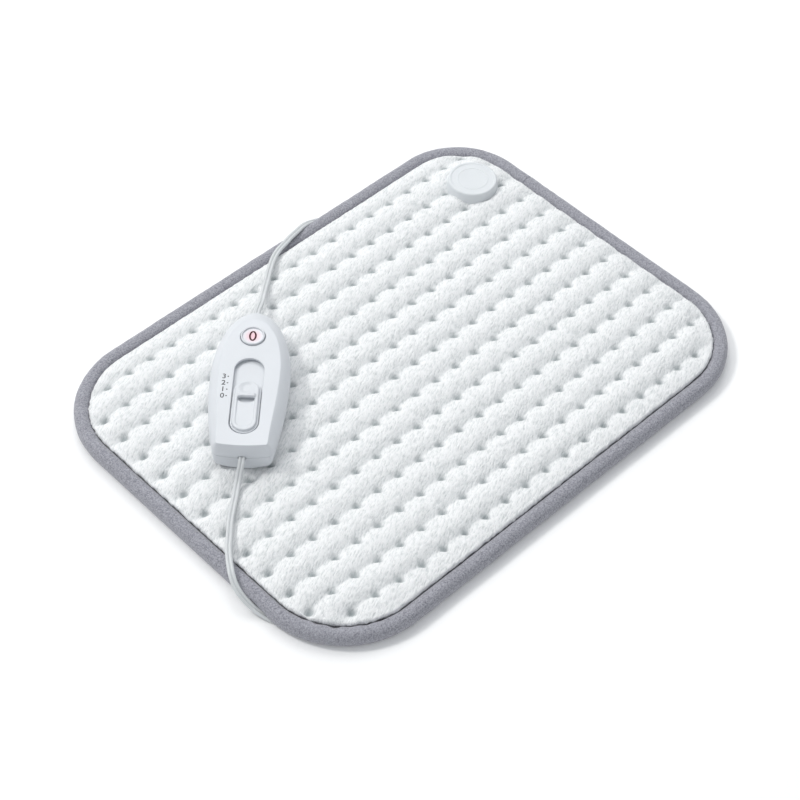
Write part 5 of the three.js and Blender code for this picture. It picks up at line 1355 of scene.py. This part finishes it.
def make_window():
    """Round level window with a raised rim, and its lit figure."""
    top = CASE_HEIGHT + 1.35
    radius = LENS_DIAMETER / 2
    profile = [
        (ON_AXIS, CASE_HEIGHT - 3.8),
        (radius + 1.9, CASE_HEIGHT - 3.8),
        (radius + 1.9, CASE_HEIGHT - 2.3),
        (radius, CASE_HEIGHT - 2.3),
        (radius, top - 0.4),
        (radius - 0.4, top),
        (radius - 1.1, top),
        (radius - 1.4, top - 1.1),
        (ON_AXIS, top - 1.05),
    ]
    place = Matrix.Translation((LENS_AT, 0, 0))
    lens = new_object("level_window", *turned(rounded_profile(profile, 0.35)), place)
    dress(place_on_case(lens), "lens", ["indicator_lens"])
    lit_figure(top - 1.05)


LEVEL_SIZE = 6.2
LEVEL_BOLDNESS = 0.07
LEVEL_THICKNESS = 0.04
LEVEL_RAISED = 0.02
DOT_RADIUS = 0.55
DOT_THICKNESS = 0.06
DOT_SUNK = 0.01


def printed_figure(level, u):
    """Printed figure beside the slot, with its top towards the window."""
    name = f"level_{level}"
    curve = bpy.data.curves.new(name, "FONT")
    curve.body = str(level)
    curve.size = LEVEL_SIZE
    curve.align_x = "CENTER"
    curve.align_y = "CENTER"
    curve.extrude = LEVEL_THICKNESS
    curve.offset = LEVEL_BOLDNESS
    curve.resolution_u = 6
    source = bpy.data.objects.new(name, curve)
    bpy.context.scene.collection.objects.link(source)
    bpy.context.view_layer.update()
    mesh = bpy.data.meshes.new_from_object(source.evaluated_get(bpy.context.evaluated_depsgraph_get()))
    bpy.data.objects.remove(source)
    piece = bpy.data.objects.new(name, mesh)
    bpy.context.scene.collection.objects.link(piece)
    turn = Matrix.Rotation(-math.pi / 2, 4, "Z")
    place = Matrix.Translation((u, LEVEL_SIDE, CASE_HEIGHT + LEVEL_RAISED))
    mesh.transform(Matrix.Scale(MM, 4) @ CASE_PLACE @ place @ turn)
    dress(piece, "dark_plastic")


# Half height, half width and lift of each ring of the lit figure
FIGURE_RINGS = ((4.8, 2.8, 0.0), (4.8, 2.8, 0.14), (3.6, 1.5, 0.14), (3.6, 1.5, 0.0))
FIGURE_SIDES = 64


def lit_figure(height):
    """Lit 0 of the level window, as an upright ring."""
    angles = np.arange(FIGURE_SIDES) * 2 * math.pi / FIGURE_SIDES
    rings = []
    for half_tall, half_wide, up in FIGURE_RINGS:
        plan = np.column_stack([LENS_AT + half_tall * np.cos(angles), half_wide * np.sin(angles)])
        rings.append(lifted(plan, height + up))
    dress(place_on_case(new_object("lit_figure", *loft(rings, looped=True))), "lamp_red")


def make_levels():
    """Printed level figures beside the slot, each with its dot."""
    dot = [(ON_AXIS, 0), (DOT_RADIUS, 0), (DOT_RADIUS, DOT_THICKNESS), (ON_AXIS, DOT_THICKNESS)]
    for level in range(4):
        u = LEVEL_FIRST + level * LEVEL_STEP
        printed_figure(level, u)
        place = Matrix.Translation((u, LEVEL_DOT_SIDE, CASE_HEIGHT - DOT_SUNK))
        piece = new_object(f"level_dot_{level}", *turned(dot, 24), place)
        dress(place_on_case(piece), "dark_plastic")


# Carried-over solids
def dress_solids():
    """Gives every solid the material of its slot."""
    slots = {entry["node"]: entry["material_slot"] for entry in frame["record"]["subparts"]}
    for name, node in frame["nodes"].items():
        node.data.materials.clear()
        node.data.materials.append(MATERIALS[slots[name]])


# Studio
FLOOR_REACH = 4000
FLOOR_LIFT = 0.06

# Name, place, side in metres, watts and colour of each lamp
LAMPS = (
    ("key", (500, 2050, 3200), 2.6, 27, (1.0, 0.99, 0.97)),
    ("side", (-1300, 1900, 2900), 0.6, 46, (1.0, 0.99, 0.97)),
    ("back", (1150, 1100, 2000), 1.6, 13, (0.98, 0.99, 1.0)),
)


def make_studio():
    """White surroundings that fill the shadows softly, a floor and the lamps."""
    scene = bpy.context.scene
    scene.view_settings.view_transform = "Standard"
    world = bpy.data.worlds.new("studio")
    scene.world = world
    world.use_nodes = True
    tree = world.node_tree
    fill = tree.nodes["Background"]
    set_inputs(fill, {"Color": (0.93, 0.965, 1.0, 1), "Strength": 0.575})
    white = add_node(tree, "Background", {"Color": (1, 1, 1, 1), "Strength": 1.0})
    mix = add_node(tree, "MixShader")
    tree.links.new(seen_directly(tree), mix.inputs["Fac"])
    tree.links.new(fill.outputs["Background"], mix.inputs[1])
    tree.links.new(white.outputs["Background"], mix.inputs[2])
    tree.links.new(mix.outputs["Shader"], tree.nodes["World Output"].inputs["Surface"])

    corners = [(x * FLOOR_REACH, y * FLOOR_REACH, 0) for x, y in ((-1, -1), (1, -1), (1, 1), (-1, 1))]
    floor = new_object("floor", corners, [(0, 1, 2, 3)])
    floor.data.materials.append(floor_material())
    for name, place, size, power, color in LAMPS:
        lamp(name, Vector(place), size, power, color)


def seen_directly(tree):
    """1 for camera, glossy and transmission rays."""
    path = add_node(tree, "LightPath")
    total = path.outputs["Is Camera Ray"]
    for ray in ("Is Glossy Ray", "Is Transmission Ray"):
        more = add_node(tree, "Math")
        more.operation = "MAXIMUM"
        tree.links.new(total, more.inputs[0])
        tree.links.new(path.outputs[ray], more.inputs[1])
        total = more.outputs["Value"]
    return total


def floor_material():
    """Pale floor that looks white where it is fully lit and keeps the shadows."""
    material = bpy.data.materials.new("floor")
    material.use_nodes = True
    tree = material.node_tree
    tree.nodes.remove(tree.nodes["Principled BSDF"])
    plain = add_node(tree, "BsdfDiffuse", {"Color": (0.96, 0.96, 0.96, 1)})
    lift = add_node(tree, "Emission", {"Color": (1, 1, 1, 1)})
    strength = add_node(tree, "Math", {1: FLOOR_LIFT})
    strength.operation = "MULTIPLY"
    tree.links.new(seen_directly(tree), strength.inputs[0])
    tree.links.new(strength.outputs["Value"], lift.inputs["Strength"])
    both = add_node(tree, "AddShader")
    tree.links.new(plain.outputs["BSDF"], both.inputs[0])
    tree.links.new(lift.outputs["Emission"], both.inputs[1])
    tree.links.new(both.outputs["Shader"], tree.nodes["Material Output"].inputs["Surface"])
    return material


def lamp(name, place, size, power, color):
    """Square soft light that looks at the pad's middle."""
    data = bpy.data.lights.new(name, "AREA")
    data.size = size
    data.energy = power
    data.color = color
    light = bpy.data.objects.new(name, data)
    light.location = place * MM
    light.rotation_mode = "QUATERNION"
    light.rotation_quaternion = (-place).to_track_quat("-Z", "Y")
    bpy.context.scene.collection.objects.link(light)


make_camera()
mains_path, pad_path = make_cords()
make_pad(mains_path, pad_path)
make_puck()
make_case()
make_knob()
make_window()
make_levels()
dress_solids()
make_studio()
